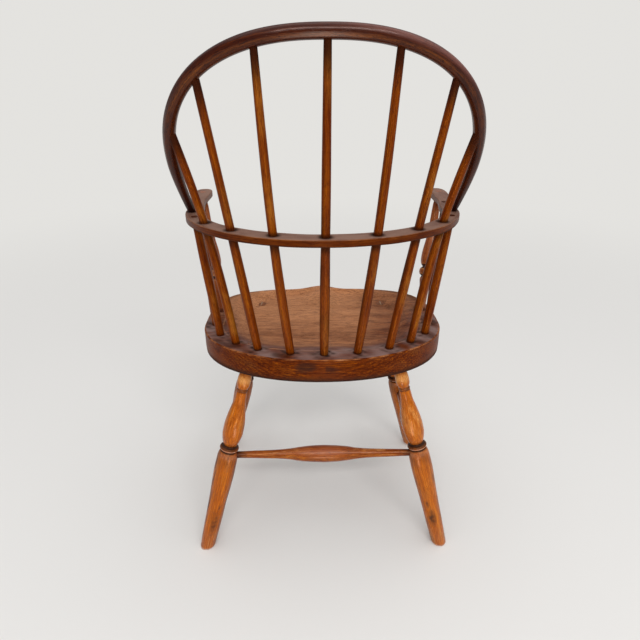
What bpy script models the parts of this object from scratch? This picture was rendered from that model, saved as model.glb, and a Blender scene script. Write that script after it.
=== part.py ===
"""Sack-back windsor armchair: a dished plank seat carries legs below and a gallery of spindles above.

Metres, +Z up, standing on z = 0 and facing -Y. Every piece is a solid of its own: turned legs,
stretchers and arm posts, shaved spindles, a flat bent arm rail with paddles, and a round bent bow.
Every joint is a round tenon in a bored socket. While the pieces are placed, y = 0 lies on the
line where the seat is widest, and the finished chair is then centred over the origin.
"""

import math

import bmesh
import bpy
from mathutils import Matrix, Vector

CHAIR = "windsor_armchair"

# Fits, and how far cutters reach past what they cut
CLEARANCE = 0.0003
CUTTER_RISE = 0.010
CUTTER_BREADTH = 0.030
CUTTER_SPAN = 1.0
CUTTER_DEPTH = 0.1

# Seat: a plank with a saddled top
SEAT_HEIGHT = 0.451
SEAT_THICKNESS = 0.0485
SEAT_HALF_WIDTH = 0.2375
SEAT_BACK_REACH = 0.153
SEAT_FRONT_REACH = 0.182
SEAT_BACK_POWER = 2.1
SEAT_FRONT_POWER = 3.6
SEAT_UPPER_ROUND = 0.003
SEAT_LOWER_ROUND = 0.005
SEAT_DISH = 0.012
SEAT_RIM = 0.034
SEAT_SLOPE = 0.060
SEAT_FRONT_EASE = 0.25
POMMEL_REACH = 0.022
POMMEL_SPREAD = 0.036
POMMEL_RUN = 0.100
SEAT_POINTS = 60

# Sockets in the seat: distance of their middles from its edge, and length down their axes
SOCKET_INSET = 0.022
SOCKET_DEPTH = 0.028

# Arm rail: half an ellipse behind, then two arms that run forward
RAIL_HEIGHT = 0.685
RAIL_THICKNESS = 0.0122
RAIL_HALF_WIDTH = 0.233
RAIL_BACK_REACH = 0.188
RAIL_BACK_BREADTH = 0.035
RAIL_SIDE_BREADTH = 0.029
RAIL_EDGE_ROUND = 0.0022
ARM_REACH = 0.182
ARM_SPREAD = 0.011
ARM_SPREAD_END = 0.085
PADDLE_FLARE = 0.017
PADDLE_START = 0.020
PADDLE_NOSE = 0.034
PADDLE_POWER = 2.7

# Bow: a leaning arch that stands in the arm rail, and bellies out a little wider
BOW_BELLY = 0.005
BOW_SHOULDER = 0.085
BOW_ARCH = 0.2555
BOW_POWER = 2.4
BOW_LEAN = 38.8
BOW_FOOT = 0.022
BOW_FOOT_OUTWARD = 0.002
BOW_STRAIGHT = 0.014
BOW_RADIUS = 0.0097
BOW_FOOT_RADIUS = 0.0076
BOW_TENON_RADIUS = 0.0064
BOW_SWELL = 0.110
BOW_SIDES = 12

# Long spindles, from the middle one outwards. The angles, in degrees, are counted from the middle of
# the back at the seat and at the arm rail, and up from a shoulder on the bow.
LONG_SPINDLES = ((0.0, 0.0, 90.0), (16.4, 19.9, 71.8), (34.2, 39.2, 47.9), (49.8, 57.7, 20.5))
SPINDLE_SEAT_RADIUS = 0.0076
SPINDLE_BELLY_RADIUS = 0.0084
SPINDLE_RAIL_RADIUS = 0.0071
SPINDLE_TIP_RADIUS = 0.0049
SPINDLE_TAPER_POWER = 1.6
SPINDLE_SIDES = 10

# Short spindles and arm posts under each arm: angles in degrees, and distances forward of y = 0
SHORT_REAR_SEAT = 67.5
SHORT_REAR_RAIL = 71.5
SHORT_FRONT_SEAT = 88.0
SHORT_FRONT_FORWARD = 0.045
POST_SEAT_FORWARD = 0.061
POST_RAIL_FORWARD = 0.146
POST_SEAT_RADIUS = 0.0078
POST_TENON_RADIUS = 0.0060
# Turned part of a post: share of its free length from the seat up, and radius
POST_SHAPE = (
    (0.10, 0.0084), (0.22, 0.0106), (0.275, 0.0122), (0.298, 0.0100), (0.318, 0.0146), (0.340, 0.0157),
    (0.362, 0.0146), (0.382, 0.0104), (0.410, 0.0143), (0.455, 0.0156), (0.53, 0.0144), (0.63, 0.0110),
    (0.74, 0.0087), (0.86, 0.0080), (0.93, 0.0073), (0.975, 0.0062),
)

# Legs: where each axis meets the seat's top and the floor
LEG_SEAT_X = 0.134
REAR_LEG_SEAT_Y = 0.080
REAR_FOOT = (0.248, 0.157)
FRONT_LEG_SEAT_Y = -0.120
FRONT_FOOT = (0.243, -0.172)
LEG_TENON_RADIUS = 0.0094
LEG_NECK_RADIUS = 0.0108
LEG_FOOT_RADIUS = 0.0150
LEG_FOOT_ROUND = 0.003
# Turned part of a leg: distance below the seat along the axis, and radius
LEG_SHAPE = (
    (0.0157, 0.0120), (0.0292, 0.0134), (0.0395, 0.0128), (0.0480, 0.0105), (0.0507, 0.0112),
    (0.0533, 0.0103), (0.0564, 0.0107), (0.0755, 0.0121), (0.1026, 0.0170),
    (0.1167, 0.0192), (0.1308, 0.0204), (0.1439, 0.0205), (0.1580, 0.0184), (0.1658, 0.0162),
    (0.1720, 0.0136), (0.1749, 0.0132), (0.1769, 0.0180), (0.1799, 0.0192), (0.1828, 0.0180),
    (0.1852, 0.0150), (0.1885, 0.0177), (0.1940, 0.0197), (0.2010, 0.0207), (0.2260, 0.0213),
    (0.2650, 0.0201), (0.3000, 0.0184), (0.3660, 0.0168),
)
TURNED_SIDES = 14

# Stretchers: height of each axis, and share of the half span with its radius
REAR_STRETCHER_HEIGHT = 0.2135
SIDE_STRETCHER_HEIGHT = 0.188
FRONT_STRETCHER_HEIGHT = 0.240
STRETCHER_END_RADIUS = 0.0066
STRETCHER_PAST_AXIS = 0.003
STRETCHER_SHAPE = (
    (0.0, 0.0172), (0.12, 0.0163), (0.24, 0.0142), (0.35, 0.0110), (0.50, 0.0088), (0.72, 0.0075),
    (0.86, 0.0068),
)

# Wedges that spread the through tenons
LEG_WEDGE = {"width": 0.0172, "head": 0.0026, "tip": 0.0010, "depth": 0.022}
POST_WEDGE = {"width": 0.0105, "head": 0.0020, "tip": 0.0010, "depth": 0.010}
BOW_WEDGE = {"width": 0.0105, "head": 0.0022, "tip": 0.0010, "depth": 0.010}

# Finishes
WAX_ROUGHNESS = 0.35
TURNED_ROUGHNESS = 0.30
END_GRAIN_ROUGHNESS = 0.50
SHARP_ANGLE = 40.0
SEAT_WOOD = (0.20, 0.085, 0.040, 1.0)
RAIL_WOOD = (0.16, 0.060, 0.032, 1.0)
BOW_WOOD = (0.15, 0.045, 0.022, 1.0)
SPINDLE_WOOD = (0.33, 0.110, 0.022, 1.0)
LEG_WOOD = (0.52, 0.200, 0.035, 1.0)
STRETCHER_WOOD = (0.42, 0.140, 0.035, 1.0)
WEDGE_WOOD = (0.48, 0.330, 0.190, 1.0)

RAIL_UNDERSIDE = RAIL_HEIGHT - RAIL_THICKNESS
SEAT_UNDERSIDE = SEAT_HEIGHT - SEAT_THICKNESS
RAIL_MIDDLE = RAIL_HEIGHT - RAIL_THICKNESS / 2
BOW_HALF_WIDTH = RAIL_HALF_WIDTH + BOW_BELLY
BOW_RISE = BOW_SHOULDER + BOW_ARCH


def clear_scene():
    """Remove every object that the scene holds."""
    for item in list(bpy.data.objects):
        bpy.data.objects.remove(item, do_unlink=True)


def make_collection(name):
    """A collection linked to the scene."""
    group = bpy.data.collections.new(name)
    bpy.context.scene.collection.children.link(group)
    return group


def wood(name, colour, roughness):
    """A waxed wood finish."""
    material = bpy.data.materials.new(name)
    material.use_nodes = True
    shader = material.node_tree.nodes["Principled BSDF"]
    shader.inputs["Base Color"].default_value = colour
    shader.inputs["Roughness"].default_value = roughness
    shader.inputs["Metallic"].default_value = 0.0
    return material


def smoothstep(low, high, value):
    """0 below low, 1 above high, and a smooth rise between."""
    share = min(max((value - low) / (high - low), 0.0), 1.0)
    return share * share * (3.0 - 2.0 * share)


def axis_frame(start, end, side):
    """A matrix at start whose Z runs to end and whose X lies as near to side as it can."""
    along = (end - start).normalized()
    across = (side - along * side.dot(along)).normalized()
    third = along.cross(across)
    turn = Matrix((across, third, along)).transposed().to_4x4()
    return Matrix.Translation(start) @ turn


def add_object(name, mesh, group, parent):
    """An object for a mesh or curve, in its collection and under the chair's empty."""
    item = bpy.data.objects.new(name, mesh)
    group.objects.link(item)
    item.parent = parent
    return item


def finish_part(item, colour, roughness=WAX_ROUGHNESS):
    """Give a piece its own wood."""
    item.data.materials.append(wood(item.name + "_wood", colour, roughness))
    return item


def smooth_rounds(item):
    """Smooth shading that keeps arrises sharp."""
    item.data.shade_smooth()
    item.data.set_sharp_from_angle(angle=math.radians(SHARP_ANGLE))


class Shop:
    """The collections and the empty that every piece and cutter is placed with."""

    def __init__(self):
        self.parts = make_collection(CHAIR)
        self.cutters = make_collection(CHAIR + "_cutters")
        self.origin = bpy.data.objects.new("chair_origin", None)
        self.parts.objects.link(self.origin)

    def part(self, name, mesh):
        """An object for a piece of the chair."""
        return add_object(name, mesh, self.parts, self.origin)

    def cutter(self, name, mesh):
        """An object that only cuts sockets."""
        item = add_object(name, mesh, self.cutters, self.origin)
        item.hide_render = True
        item.display_type = "WIRE"
        return item


def cut(item, cutter):
    """Bore or trim a piece with a cutter."""
    step = item.modifiers.new("cut_" + cutter.name, "BOOLEAN")
    step.operation = "DIFFERENCE"
    step.solver = "EXACT"
    step.object = cutter


def bore(item, cutter):
    """Add a cutter to those that bore a slender piece's sockets, all in one step."""
    step = item.modifiers.get("sockets")
    if step is None:
        step = item.modifiers.new("sockets", "BOOLEAN")
        step.operation = "DIFFERENCE"
        step.solver = "EXACT"
        step.operand_type = "COLLECTION"
        step.collection = make_collection(item.name + "_sockets")
    step.collection.objects.link(cutter)


def mesh_of(item, name):
    """The evaluated mesh of an object, with its loose caps welded."""
    depsgraph = bpy.context.evaluated_depsgraph_get()
    mesh = bpy.data.meshes.new_from_object(item.evaluated_get(depsgraph))
    mesh.name = name
    shape = bmesh.new()
    shape.from_mesh(mesh)
    bmesh.ops.remove_doubles(shape, verts=shape.verts, dist=1e-6)
    shape.normal_update()
    bmesh.ops.recalc_face_normals(shape, faces=shape.faces)
    shape.to_mesh(mesh)
    shape.free()
    return mesh


def rod_curve(name, points, radii, sides):
    """A round rod along points, with a radius at each."""
    curve = bpy.data.curves.new(name, "CURVE")
    curve.dimensions = "3D"
    curve.bevel_depth = 1.0
    curve.bevel_resolution = (sides - 4) // 2
    curve.use_fill_caps = True
    line = curve.splines.new("POLY")
    line.points.add(len(points) - 1)
    for spot, place, radius in zip(line.points, points, radii):
        spot.co = (*place, 1.0)
        spot.radius = radius
    return curve


def rod_mesh(name, points, radii, sides):
    """A rod as a mesh, so that it can cut and be cut."""
    holder = bpy.data.objects.new(name, rod_curve(name, points, radii, sides))
    bpy.context.scene.collection.objects.link(holder)
    mesh = mesh_of(holder, name)
    bpy.data.objects.remove(holder)
    return mesh


def turned_mesh(name, profile, sides):
    """A turned solid: a profile of (height, radius) from the top down, spun round Z."""
    mesh = bpy.data.meshes.new(name)
    outline = [(0.0, 0.0, profile[0][0])]
    outline += [(radius, 0.0, height) for height, radius in profile]
    outline += [(0.0, 0.0, profile[-1][0])]
    edges = [(index, index + 1) for index in range(len(outline) - 1)]
    mesh.from_pydata(outline, edges, [])
    holder = bpy.data.objects.new(name, mesh)
    bpy.context.scene.collection.objects.link(holder)
    spin = holder.modifiers.new("spin", "SCREW")
    spin.axis = "Z"
    spin.angle = math.tau
    spin.screw_offset = 0.0
    spin.steps = sides
    spin.render_steps = sides
    spin.use_merge_vertices = True
    spin.merge_threshold = 0.00001
    turned = mesh_of(holder, name)
    bpy.data.objects.remove(holder)
    return turned


def block_mesh(name, low, high):
    """A box between two corners."""
    mesh = bpy.data.meshes.new(name)
    shape = bmesh.new()
    bmesh.ops.create_cube(shape, size=1.0)
    middle = (Vector(low) + Vector(high)) / 2
    size = Vector(high) - Vector(low)
    for vert in shape.verts:
        vert.co = middle + Vector(c * s for c, s in zip(vert.co, size))
    shape.to_mesh(mesh)
    shape.free()
    return mesh


def wedge_mesh(name, size, grow=0.0, rise=0.0):
    """A wedge with its head on z = 0 and its tip below; it can be grown all round and carried on up."""
    mesh = bpy.data.meshes.new(name)
    shape = bmesh.new()
    bmesh.ops.create_cube(shape, size=1.0)
    slope = (size["head"] - size["tip"]) / size["depth"]
    for vert in shape.verts:
        level = rise if vert.co.z > 0 else -size["depth"] - grow
        thick = size["tip"] + slope * (level + size["depth"]) + 2 * grow
        wide = size["width"] + 2 * grow
        vert.co = Vector((math.copysign(wide / 2, vert.co.x), math.copysign(thick / 2, vert.co.y), level))
    shape.to_mesh(mesh)
    shape.free()
    return mesh


def drive_wedge(shop, name, piece, frame, size, flush):
    """A wedge in the end of a tenon: its kerf is cut in the piece and its head is trimmed flush."""
    kerf = shop.cutter(name + "_kerf", wedge_mesh(name + "_kerf", size, CLEARANCE, CUTTER_RISE))
    kerf.matrix_local = frame
    cut(piece, kerf)
    wedge = shop.part(name, wedge_mesh(name, size, 0.0, CUTTER_RISE / 2))
    wedge.matrix_local = frame
    cut(wedge, flush)
    finish_part(wedge, WEDGE_WOOD, END_GRAIN_ROUGHNESS)


# Seat

def seat_edge(angle):
    """Distance from the seat's middle to its edge. Angle 0 points back and turns towards +X."""
    across, along = abs(math.sin(angle)), math.cos(angle)
    reach, power = SEAT_BACK_REACH, SEAT_BACK_POWER
    if along < 0:
        reach, power = SEAT_FRONT_REACH, SEAT_FRONT_POWER
    return ((across / SEAT_HALF_WIDTH) ** power + (abs(along) / reach) ** power) ** (-1 / power)


def seat_half_width(forward):
    """Half the seat's width at a distance in front of its widest line."""
    share = min(forward / SEAT_FRONT_REACH, 0.999)
    return SEAT_HALF_WIDTH * (1 - share ** SEAT_FRONT_POWER) ** (1 / SEAT_FRONT_POWER)


def seat_top(x, y):
    """Height of the saddled top: flat at the rim, dished inside, with a ridge at the pommel."""
    if y >= 0:
        reach = math.hypot(x, y)
        inside = seat_edge(math.atan2(abs(x), y)) - reach
    else:
        inside = seat_half_width(-y) - abs(x)
    dish = SEAT_DISH * smoothstep(SEAT_RIM, SEAT_RIM + SEAT_SLOPE, inside)
    forward = smoothstep(SEAT_FRONT_REACH - POMMEL_RUN, SEAT_FRONT_REACH, -y)
    ridge = math.exp(-((x / POMMEL_SPREAD) ** 2)) * forward
    return SEAT_HEIGHT - dish * (1 - SEAT_FRONT_EASE * forward) * (1 - ridge)


def seat_point(angle, inset, share=1.0):
    """A point of the seat's outline, drawn in by an inset and by a share of its reach."""
    reach = (seat_edge(angle) - inset) * share
    x, y = reach * math.sin(angle), reach * math.cos(angle)
    if y < 0:
        y -= POMMEL_REACH * share * math.exp(-((x / POMMEL_SPREAD) ** 2)) * min(-y / SEAT_FRONT_REACH, 1.0)
    return x, y


def seat_rings():
    """Rings of points from the middle of the top, over the edge, to the underside."""
    angles = [math.tau * index / SEAT_POINTS for index in range(SEAT_POINTS)]
    rings = []
    for share in (0.22, 0.42, 0.60, 0.74, 0.86, 0.95):
        flat = [seat_point(angle, SEAT_UPPER_ROUND, share) for angle in angles]
        rings.append([(x, y, seat_top(x, y)) for x, y in flat])
    for turn in (0.0, 45.0, 90.0):
        inset = SEAT_UPPER_ROUND * (1 - math.sin(math.radians(turn)))
        drop = SEAT_UPPER_ROUND * (1 - math.cos(math.radians(turn)))
        flat = [seat_point(angle, inset) for angle in angles]
        rings.append([(x, y, seat_top(x, y) - drop) for x, y in flat])
    for turn in (0.0, 45.0, 90.0):
        inset = SEAT_LOWER_ROUND * (1 - math.cos(math.radians(turn)))
        rise = SEAT_LOWER_ROUND * (1 - math.sin(math.radians(turn)))
        rings.append([(*seat_point(angle, inset), SEAT_UNDERSIDE + rise) for angle in angles])
    return rings


def seat_mesh():
    """The seat lofted through its rings, closed by a fan at the middle of the top and the underside."""
    mesh = bpy.data.meshes.new("seat")
    shape = bmesh.new()
    rings = [[shape.verts.new(place) for place in ring] for ring in seat_rings()]
    for inner, outer in zip(rings, rings[1:]):
        for index in range(SEAT_POINTS):
            after = (index + 1) % SEAT_POINTS
            shape.faces.new((inner[index], outer[index], outer[after], inner[after]))
    crown = shape.verts.new((0.0, 0.0, seat_top(0.0, 0.0)))
    for index in range(SEAT_POINTS):
        shape.faces.new((crown, rings[0][index], rings[0][(index + 1) % SEAT_POINTS]))
    shape.faces.new(rings[-1])
    shape.normal_update()
    bmesh.ops.recalc_face_normals(shape, faces=shape.faces)
    shape.to_mesh(mesh)
    shape.free()
    return mesh


def seat_socket(degrees, side):
    """Where a spindle's axis meets the seat's top, at an angle from the middle of the back."""
    turn = math.radians(degrees)
    x = (SEAT_HALF_WIDTH - SOCKET_INSET) * math.sin(turn)
    y = (SEAT_BACK_REACH - SOCKET_INSET) * math.cos(turn)
    return Vector((side * x, y, seat_top(x, y)))


def post_socket(side):
    """Where an arm post's axis meets the seat's top."""
    x = seat_half_width(POST_SEAT_FORWARD) - SOCKET_INSET
    return Vector((side * x, -POST_SEAT_FORWARD, seat_top(x, -POST_SEAT_FORWARD)))


# Arm rail

def rail_back(degrees):
    """Middle line of the rail's back: an ellipse, with angle 0 at the middle of the back."""
    turn = math.radians(degrees)
    return Vector((RAIL_HALF_WIDTH * math.sin(turn), RAIL_BACK_REACH * math.cos(turn)))


def arm_sides(forward):
    """Inner and outer x of the +X arm before its nose: both spread, and the outer one flares more."""
    inner = RAIL_HALF_WIDTH - RAIL_SIDE_BREADTH / 2 + ARM_SPREAD * smoothstep(0.0, ARM_SPREAD_END, forward)
    flare = PADDLE_FLARE * smoothstep(PADDLE_START, ARM_REACH - PADDLE_NOSE, forward)
    return inner, RAIL_HALF_WIDTH + RAIL_SIDE_BREADTH / 2 + flare


def rail_arm(forward):
    """Middle line of the +X arm, at a distance in front of the widest line."""
    return Vector((sum(arm_sides(forward)) / 2, -forward))


def rail_hole(place, side):
    """A point of the rail's middle line at half its thickness."""
    return Vector((side * place.x, place.y, RAIL_MIDDLE))


def arm_edges(forward):
    """Inner and outer x of the +X arm, which ends in a rounded nose."""
    held = min(forward, ARM_REACH - PADDLE_NOSE)
    inner, outer = arm_sides(held)
    share = min((forward - held) / PADDLE_NOSE, 1.0)
    shrink = (1 - share ** PADDLE_POWER) ** (1 / PADDLE_POWER)
    centre, half = (inner + outer) / 2, (outer - inner) / 2
    return centre - half * shrink, centre + half * shrink


def rail_outline():
    """Corners of the rail seen from above, round the outside and back along the inside."""
    outer, inner = [], []
    nose_start = ARM_REACH - PADDLE_NOSE
    straight = [nose_start * share for share in (0.2, 0.4, 0.55, 0.7, 0.85, 1.0)]
    rounded = [nose_start + PADDLE_NOSE * share for share in (0.35, 0.62, 0.82, 0.95)]
    for forward in reversed(straight + rounded):
        near, far = arm_edges(forward)
        outer.append((far, -forward))
        inner.append((near, -forward))
    steps = 12
    for index in range(steps + 1):
        degrees = 90.0 * (1 - index / steps)
        place = rail_back(degrees)
        turn = math.radians(degrees)
        slope = Vector((RAIL_BACK_REACH * math.sin(turn), RAIL_HALF_WIDTH * math.cos(turn))).normalized()
        breadth = RAIL_SIDE_BREADTH + (RAIL_BACK_BREADTH - RAIL_SIDE_BREADTH) * math.cos(turn) ** 2
        outer.append(tuple(place + slope * breadth / 2))
        inner.append(tuple(place - slope * breadth / 2))
    middle = sum(arm_edges(nose_start)) / 2
    half = [(middle, -ARM_REACH)] + outer
    mirrored = [(-x, y) for x, y in reversed(half[:-1])]
    inside = [(-x, y) for x, y in inner] + [(x, y) for x, y in reversed(inner[:-1])]
    return half + mirrored + inside


def rail_mesh():
    """The flat rail: its outline filled and thickened."""
    curve = bpy.data.curves.new("arm_rail", "CURVE")
    curve.dimensions = "2D"
    curve.fill_mode = "BOTH"
    curve.extrude = RAIL_THICKNESS / 2
    outline = rail_outline()
    line = curve.splines.new("POLY")
    line.use_cyclic_u = True
    line.points.add(len(outline) - 1)
    for spot, place in zip(line.points, outline):
        spot.co = (*place, 0.0, 1.0)
    holder = bpy.data.objects.new("arm_rail", curve)
    bpy.context.scene.collection.objects.link(holder)
    mesh = mesh_of(holder, "arm_rail")
    bpy.data.objects.remove(holder)
    mesh.transform(Matrix.Translation((0.0, 0.0, RAIL_MIDDLE)))
    return mesh


# Bow

def bow_place(x, rise):
    """A point of the bow's leaning plane, at a distance up the plane from the rail's top."""
    lean = math.radians(BOW_LEAN)
    return Vector((x, BOW_FOOT + rise * math.sin(lean), RAIL_HEIGHT + rise * math.cos(lean)))


def bow_foot_x():
    """The bow's feet stand a little outside the rail's middle line."""
    return RAIL_HALF_WIDTH * math.sqrt(1 - (BOW_FOOT / RAIL_BACK_REACH) ** 2) + BOW_FOOT_OUTWARD


def bow_arch(degrees):
    """A point of the arch, a superellipse: 0 at the +X shoulder, 90 at the top."""
    turn = math.radians(degrees)
    cosine, sine = math.cos(turn), math.sin(turn)
    power = 2 / BOW_POWER
    x = math.copysign(BOW_HALF_WIDTH * abs(cosine) ** power, cosine)
    return bow_place(x, BOW_SHOULDER + BOW_ARCH * abs(sine) ** power)


def bow_leg(rise):
    """A point of the +X side below the shoulder: drawn in towards its foot, and straight at the foot."""
    drawn = BOW_HALF_WIDTH - bow_foot_x()
    if rise < BOW_STRAIGHT:
        slope = 2 * drawn * (1 - BOW_STRAIGHT / BOW_SHOULDER) / BOW_SHOULDER
        return bow_place(bow_leg(BOW_STRAIGHT).x + slope * (rise - BOW_STRAIGHT), rise)
    return bow_place(BOW_HALF_WIDTH - drawn * (1 - rise / BOW_SHOULDER) ** 2, rise)


def bow_path():
    """Points and radii from under the +X arm, over the top, to under the -X arm."""
    lean = math.cos(math.radians(BOW_LEAN))
    below = -(RAIL_THICKNESS + CUTTER_RISE) / lean
    lift = BOW_TENON_RADIUS * math.tan(math.radians(BOW_LEAN))
    side = [bow_leg(rise) for rise in (below, lift, BOW_STRAIGHT)]
    side += [bow_leg(BOW_SHOULDER * share) for share in (0.33, 0.5, 0.75)]
    steps = 14
    arch = [bow_arch(90.0 * (index / steps) ** 1.15) for index in range(steps + 1)]
    half = side + arch
    swell = BOW_RADIUS - BOW_FOOT_RADIUS
    radii = [BOW_FOOT_RADIUS + swell * smoothstep(0.0, BOW_SWELL, (place - side[2]).length) for place in half]
    radii[:2] = [BOW_TENON_RADIUS] * 2
    points = half + [Vector((-p.x, p.y, p.z)) for p in reversed(half[:-1])]
    return points, radii + radii[-2::-1]


def bow_foot_frame(side):
    """A frame where a foot of the bow leaves the rail's underside, with Z pointing down and out."""
    lean = math.cos(math.radians(BOW_LEAN))
    out = bow_leg(-RAIL_THICKNESS / lean)
    up = bow_leg(0.0)
    flip = Matrix.Diagonal((side, 1.0, 1.0)).to_3x3()
    return axis_frame(flip @ out, flip @ (2 * out - up), Vector((1.0, 0.0, 0.0)))


# Spindles

def flexed_line(low, middle, high, steps):
    """A line that passes three points and bends smoothly at the middle one."""
    lower, upper = middle - low, high - middle
    turn = (lower.normalized() + upper.normalized()) / 2
    points = []
    for start, chord, leading in ((low, lower, True), (middle, upper, False)):
        firm = turn * chord.length
        free = chord * 1.5 - firm * 0.5
        first, last = (free, firm) if leading else (firm, free)
        for index in range(steps + (0 if leading else 1)):
            t = index / steps
            points.append(
                start
                + chord * (t * t * (3 - 2 * t))
                + first * (t * (1 - t) ** 2)
                - last * (t * t * (1 - t))
            )
    return points


def spindle_radius(place):
    """Radius at a height: a slight belly between seat and rail, and a growing taper above the rail."""
    if place.z >= RAIL_MIDDLE:
        share = (place.z - RAIL_MIDDLE) / (bow_place(0.0, BOW_RISE).z - RAIL_MIDDLE)
        return SPINDLE_RAIL_RADIUS - (SPINDLE_RAIL_RADIUS - SPINDLE_TIP_RADIUS) * share ** SPINDLE_TAPER_POWER
    share = max((place.z - SEAT_HEIGHT) / (RAIL_MIDDLE - SEAT_HEIGHT), 0.0)
    straight = SPINDLE_SEAT_RADIUS + (SPINDLE_RAIL_RADIUS - SPINDLE_SEAT_RADIUS) * share
    mean = (SPINDLE_SEAT_RADIUS + SPINDLE_RAIL_RADIUS) / 2
    return straight + (SPINDLE_BELLY_RADIUS - mean) * math.sin(math.pi * share)


def socketed(points):
    """The line carried on straight to the bottom of its socket in the seat."""
    along = (points[1] - points[0]).normalized()
    return [points[0] - along * SOCKET_DEPTH] + points


def long_spindle_line(seat_degrees, rail_degrees, bow_degrees, side):
    """A long spindle runs from the seat through the rail to the bow's middle line."""
    tip = bow_arch(bow_degrees)
    tip.x *= side
    if bow_degrees == 90.0:
        tip.x = 0.0
    hole = rail_hole(rail_back(rail_degrees), side)
    return socketed(flexed_line(seat_socket(seat_degrees, side), hole, tip, 5))


def short_spindle_line(seat_degrees, hole, side):
    """A short spindle runs from the seat through the rail, and is trimmed flush with its top."""
    foot = seat_socket(seat_degrees, side)
    rail = rail_hole(hole, side)
    above = rail + (rail - foot).normalized() * CUTTER_RISE * 1.5
    steps = 5
    return socketed([foot.lerp(above, index / steps) for index in range(steps + 1)])


def lengthened(points, amount):
    """The same line, a little longer at both ends."""
    first = (points[0] - points[1]).normalized() * amount
    last = (points[-1] - points[-2]).normalized() * amount
    return [points[0] + first] + points[1:-1] + [points[-1] + last]


def spindle_cutter(shop, name, points):
    """The socket of a spindle: its own line, wider by the clearance."""
    radii = [spindle_radius(place) + CLEARANCE / math.cos(math.pi / SPINDLE_SIDES) for place in points]
    mesh = rod_mesh(name, lengthened(points, CLEARANCE), radii, SPINDLE_SIDES)
    return shop.cutter(name + "_socket", mesh)


def make_long_spindle(shop, name, points):
    """A long spindle, kept as a curve."""
    radii = [spindle_radius(place) for place in points]
    return finish_part(shop.part(name, rod_curve(name, points, radii, SPINDLE_SIDES)), SPINDLE_WOOD)


def make_short_spindle(shop, name, points, rail_top):
    """A short spindle, trimmed flush with the rail's top."""
    radii = [spindle_radius(place) for place in points]
    item = shop.part(name, rod_mesh(name, points, radii, SPINDLE_SIDES))
    cut(item, rail_top)
    smooth_rounds(item)
    return finish_part(item, SPINDLE_WOOD)


# Turned pieces

def leg_axis(seat_y, foot, side):
    """Where a leg's axis meets the seat's top and the floor."""
    top = Vector((side * LEG_SEAT_X, seat_y, seat_top(LEG_SEAT_X, seat_y)))
    return top, Vector((side * foot[0], foot[1], 0.0))


def axis_at(axis, height):
    """The point of a leg's axis at a height."""
    top, foot = axis
    return foot.lerp(top, height / top.z)


def leg_profile(axis, grow=0.0):
    """Heights along the axis from the floor, with radii, from above the seat down past the floor."""
    top, foot = axis
    length = (top - foot).length
    slant = length / top.z
    under = SEAT_UNDERSIDE * slant
    rows = [(length + CUTTER_RISE, LEG_TENON_RADIUS), (length, LEG_TENON_RADIUS), (under, LEG_NECK_RADIUS)]
    rows += [(under - drop, radius) for drop, radius in LEG_SHAPE]
    rows += [(LEG_FOOT_ROUND * 2, LEG_FOOT_RADIUS), (-LEG_FOOT_RADIUS, LEG_FOOT_RADIUS - LEG_FOOT_ROUND)]
    return [(height, radius + grow) for height, radius in rows]


def leg_tenon_cutter(shop, name, axis, frame):
    """The leg's socket in the seat: the tenon wider by the clearance, open above and below."""
    wide = CLEARANCE / math.cos(math.pi / TURNED_SIDES)
    rows = leg_profile(axis, wide)[:3]
    rows.append((rows[2][0] - CUTTER_RISE * 2, LEG_NECK_RADIUS + wide))
    item = shop.cutter(name + "_socket", turned_mesh(name + "_socket", rows, TURNED_SIDES))
    item.matrix_local = frame
    return item


def seat_plane_frame(x, y, lift):
    """A frame on the seat's top, with Z along its normal, lifted by a small amount."""
    step = 0.002
    rise_x = (seat_top(x + step, y) - seat_top(x - step, y)) / (2 * step)
    rise_y = (seat_top(x, y + step) - seat_top(x, y - step)) / (2 * step)
    normal = Vector((-rise_x, -rise_y, 1.0)).normalized()
    place = Vector((x, y, seat_top(x, y))) + normal * lift
    return axis_frame(place, place + normal, Vector((1.0, 0.0, 0.0)))


def make_leg(shop, place, axis, seat, floor):
    """A turned leg with its socket in the seat and the wedge that spreads its tenon."""
    name = "leg_" + place
    top, foot = axis
    frame = axis_frame(foot, top, Vector((0.0, 1.0, 0.0)))
    item = shop.part(name, turned_mesh(name, leg_profile(axis), TURNED_SIDES))
    item.matrix_local = frame
    cut(seat, leg_tenon_cutter(shop, name, axis, frame))
    reach = CUTTER_BREADTH
    flush = shop.cutter(name + "_flush", block_mesh(name + "_flush", (-reach, -reach, 0.0), (reach,) * 3))
    flush.matrix_local = seat_plane_frame(top.x, top.y, CLEARANCE)
    head = axis_frame(top, top + (top - foot), Vector((0.0, 1.0, 0.0)))
    drive_wedge(shop, "leg_wedge_" + place, item, head, LEG_WEDGE, flush)
    cut(item, flush)
    cut(item, floor)
    smooth_rounds(item)
    return finish_part(item, LEG_WOOD, TURNED_ROUGHNESS)


def post_profile(foot, hole, grow=0.0):
    """Heights along the axis from the seat's top, with radii, from above the rail to the socket's end."""
    free = (hole - foot).length * (RAIL_UNDERSIDE - foot.z) / (hole.z - foot.z)
    rows = [((hole - foot).length + CUTTER_RISE, POST_TENON_RADIUS), (free, POST_TENON_RADIUS)]
    rows += [(free * share, radius) for share, radius in reversed(POST_SHAPE)]
    rows += [(0.0, POST_SEAT_RADIUS), (-SOCKET_DEPTH, POST_SEAT_RADIUS)]
    return [(height, radius + grow) for height, radius in rows]


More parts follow.
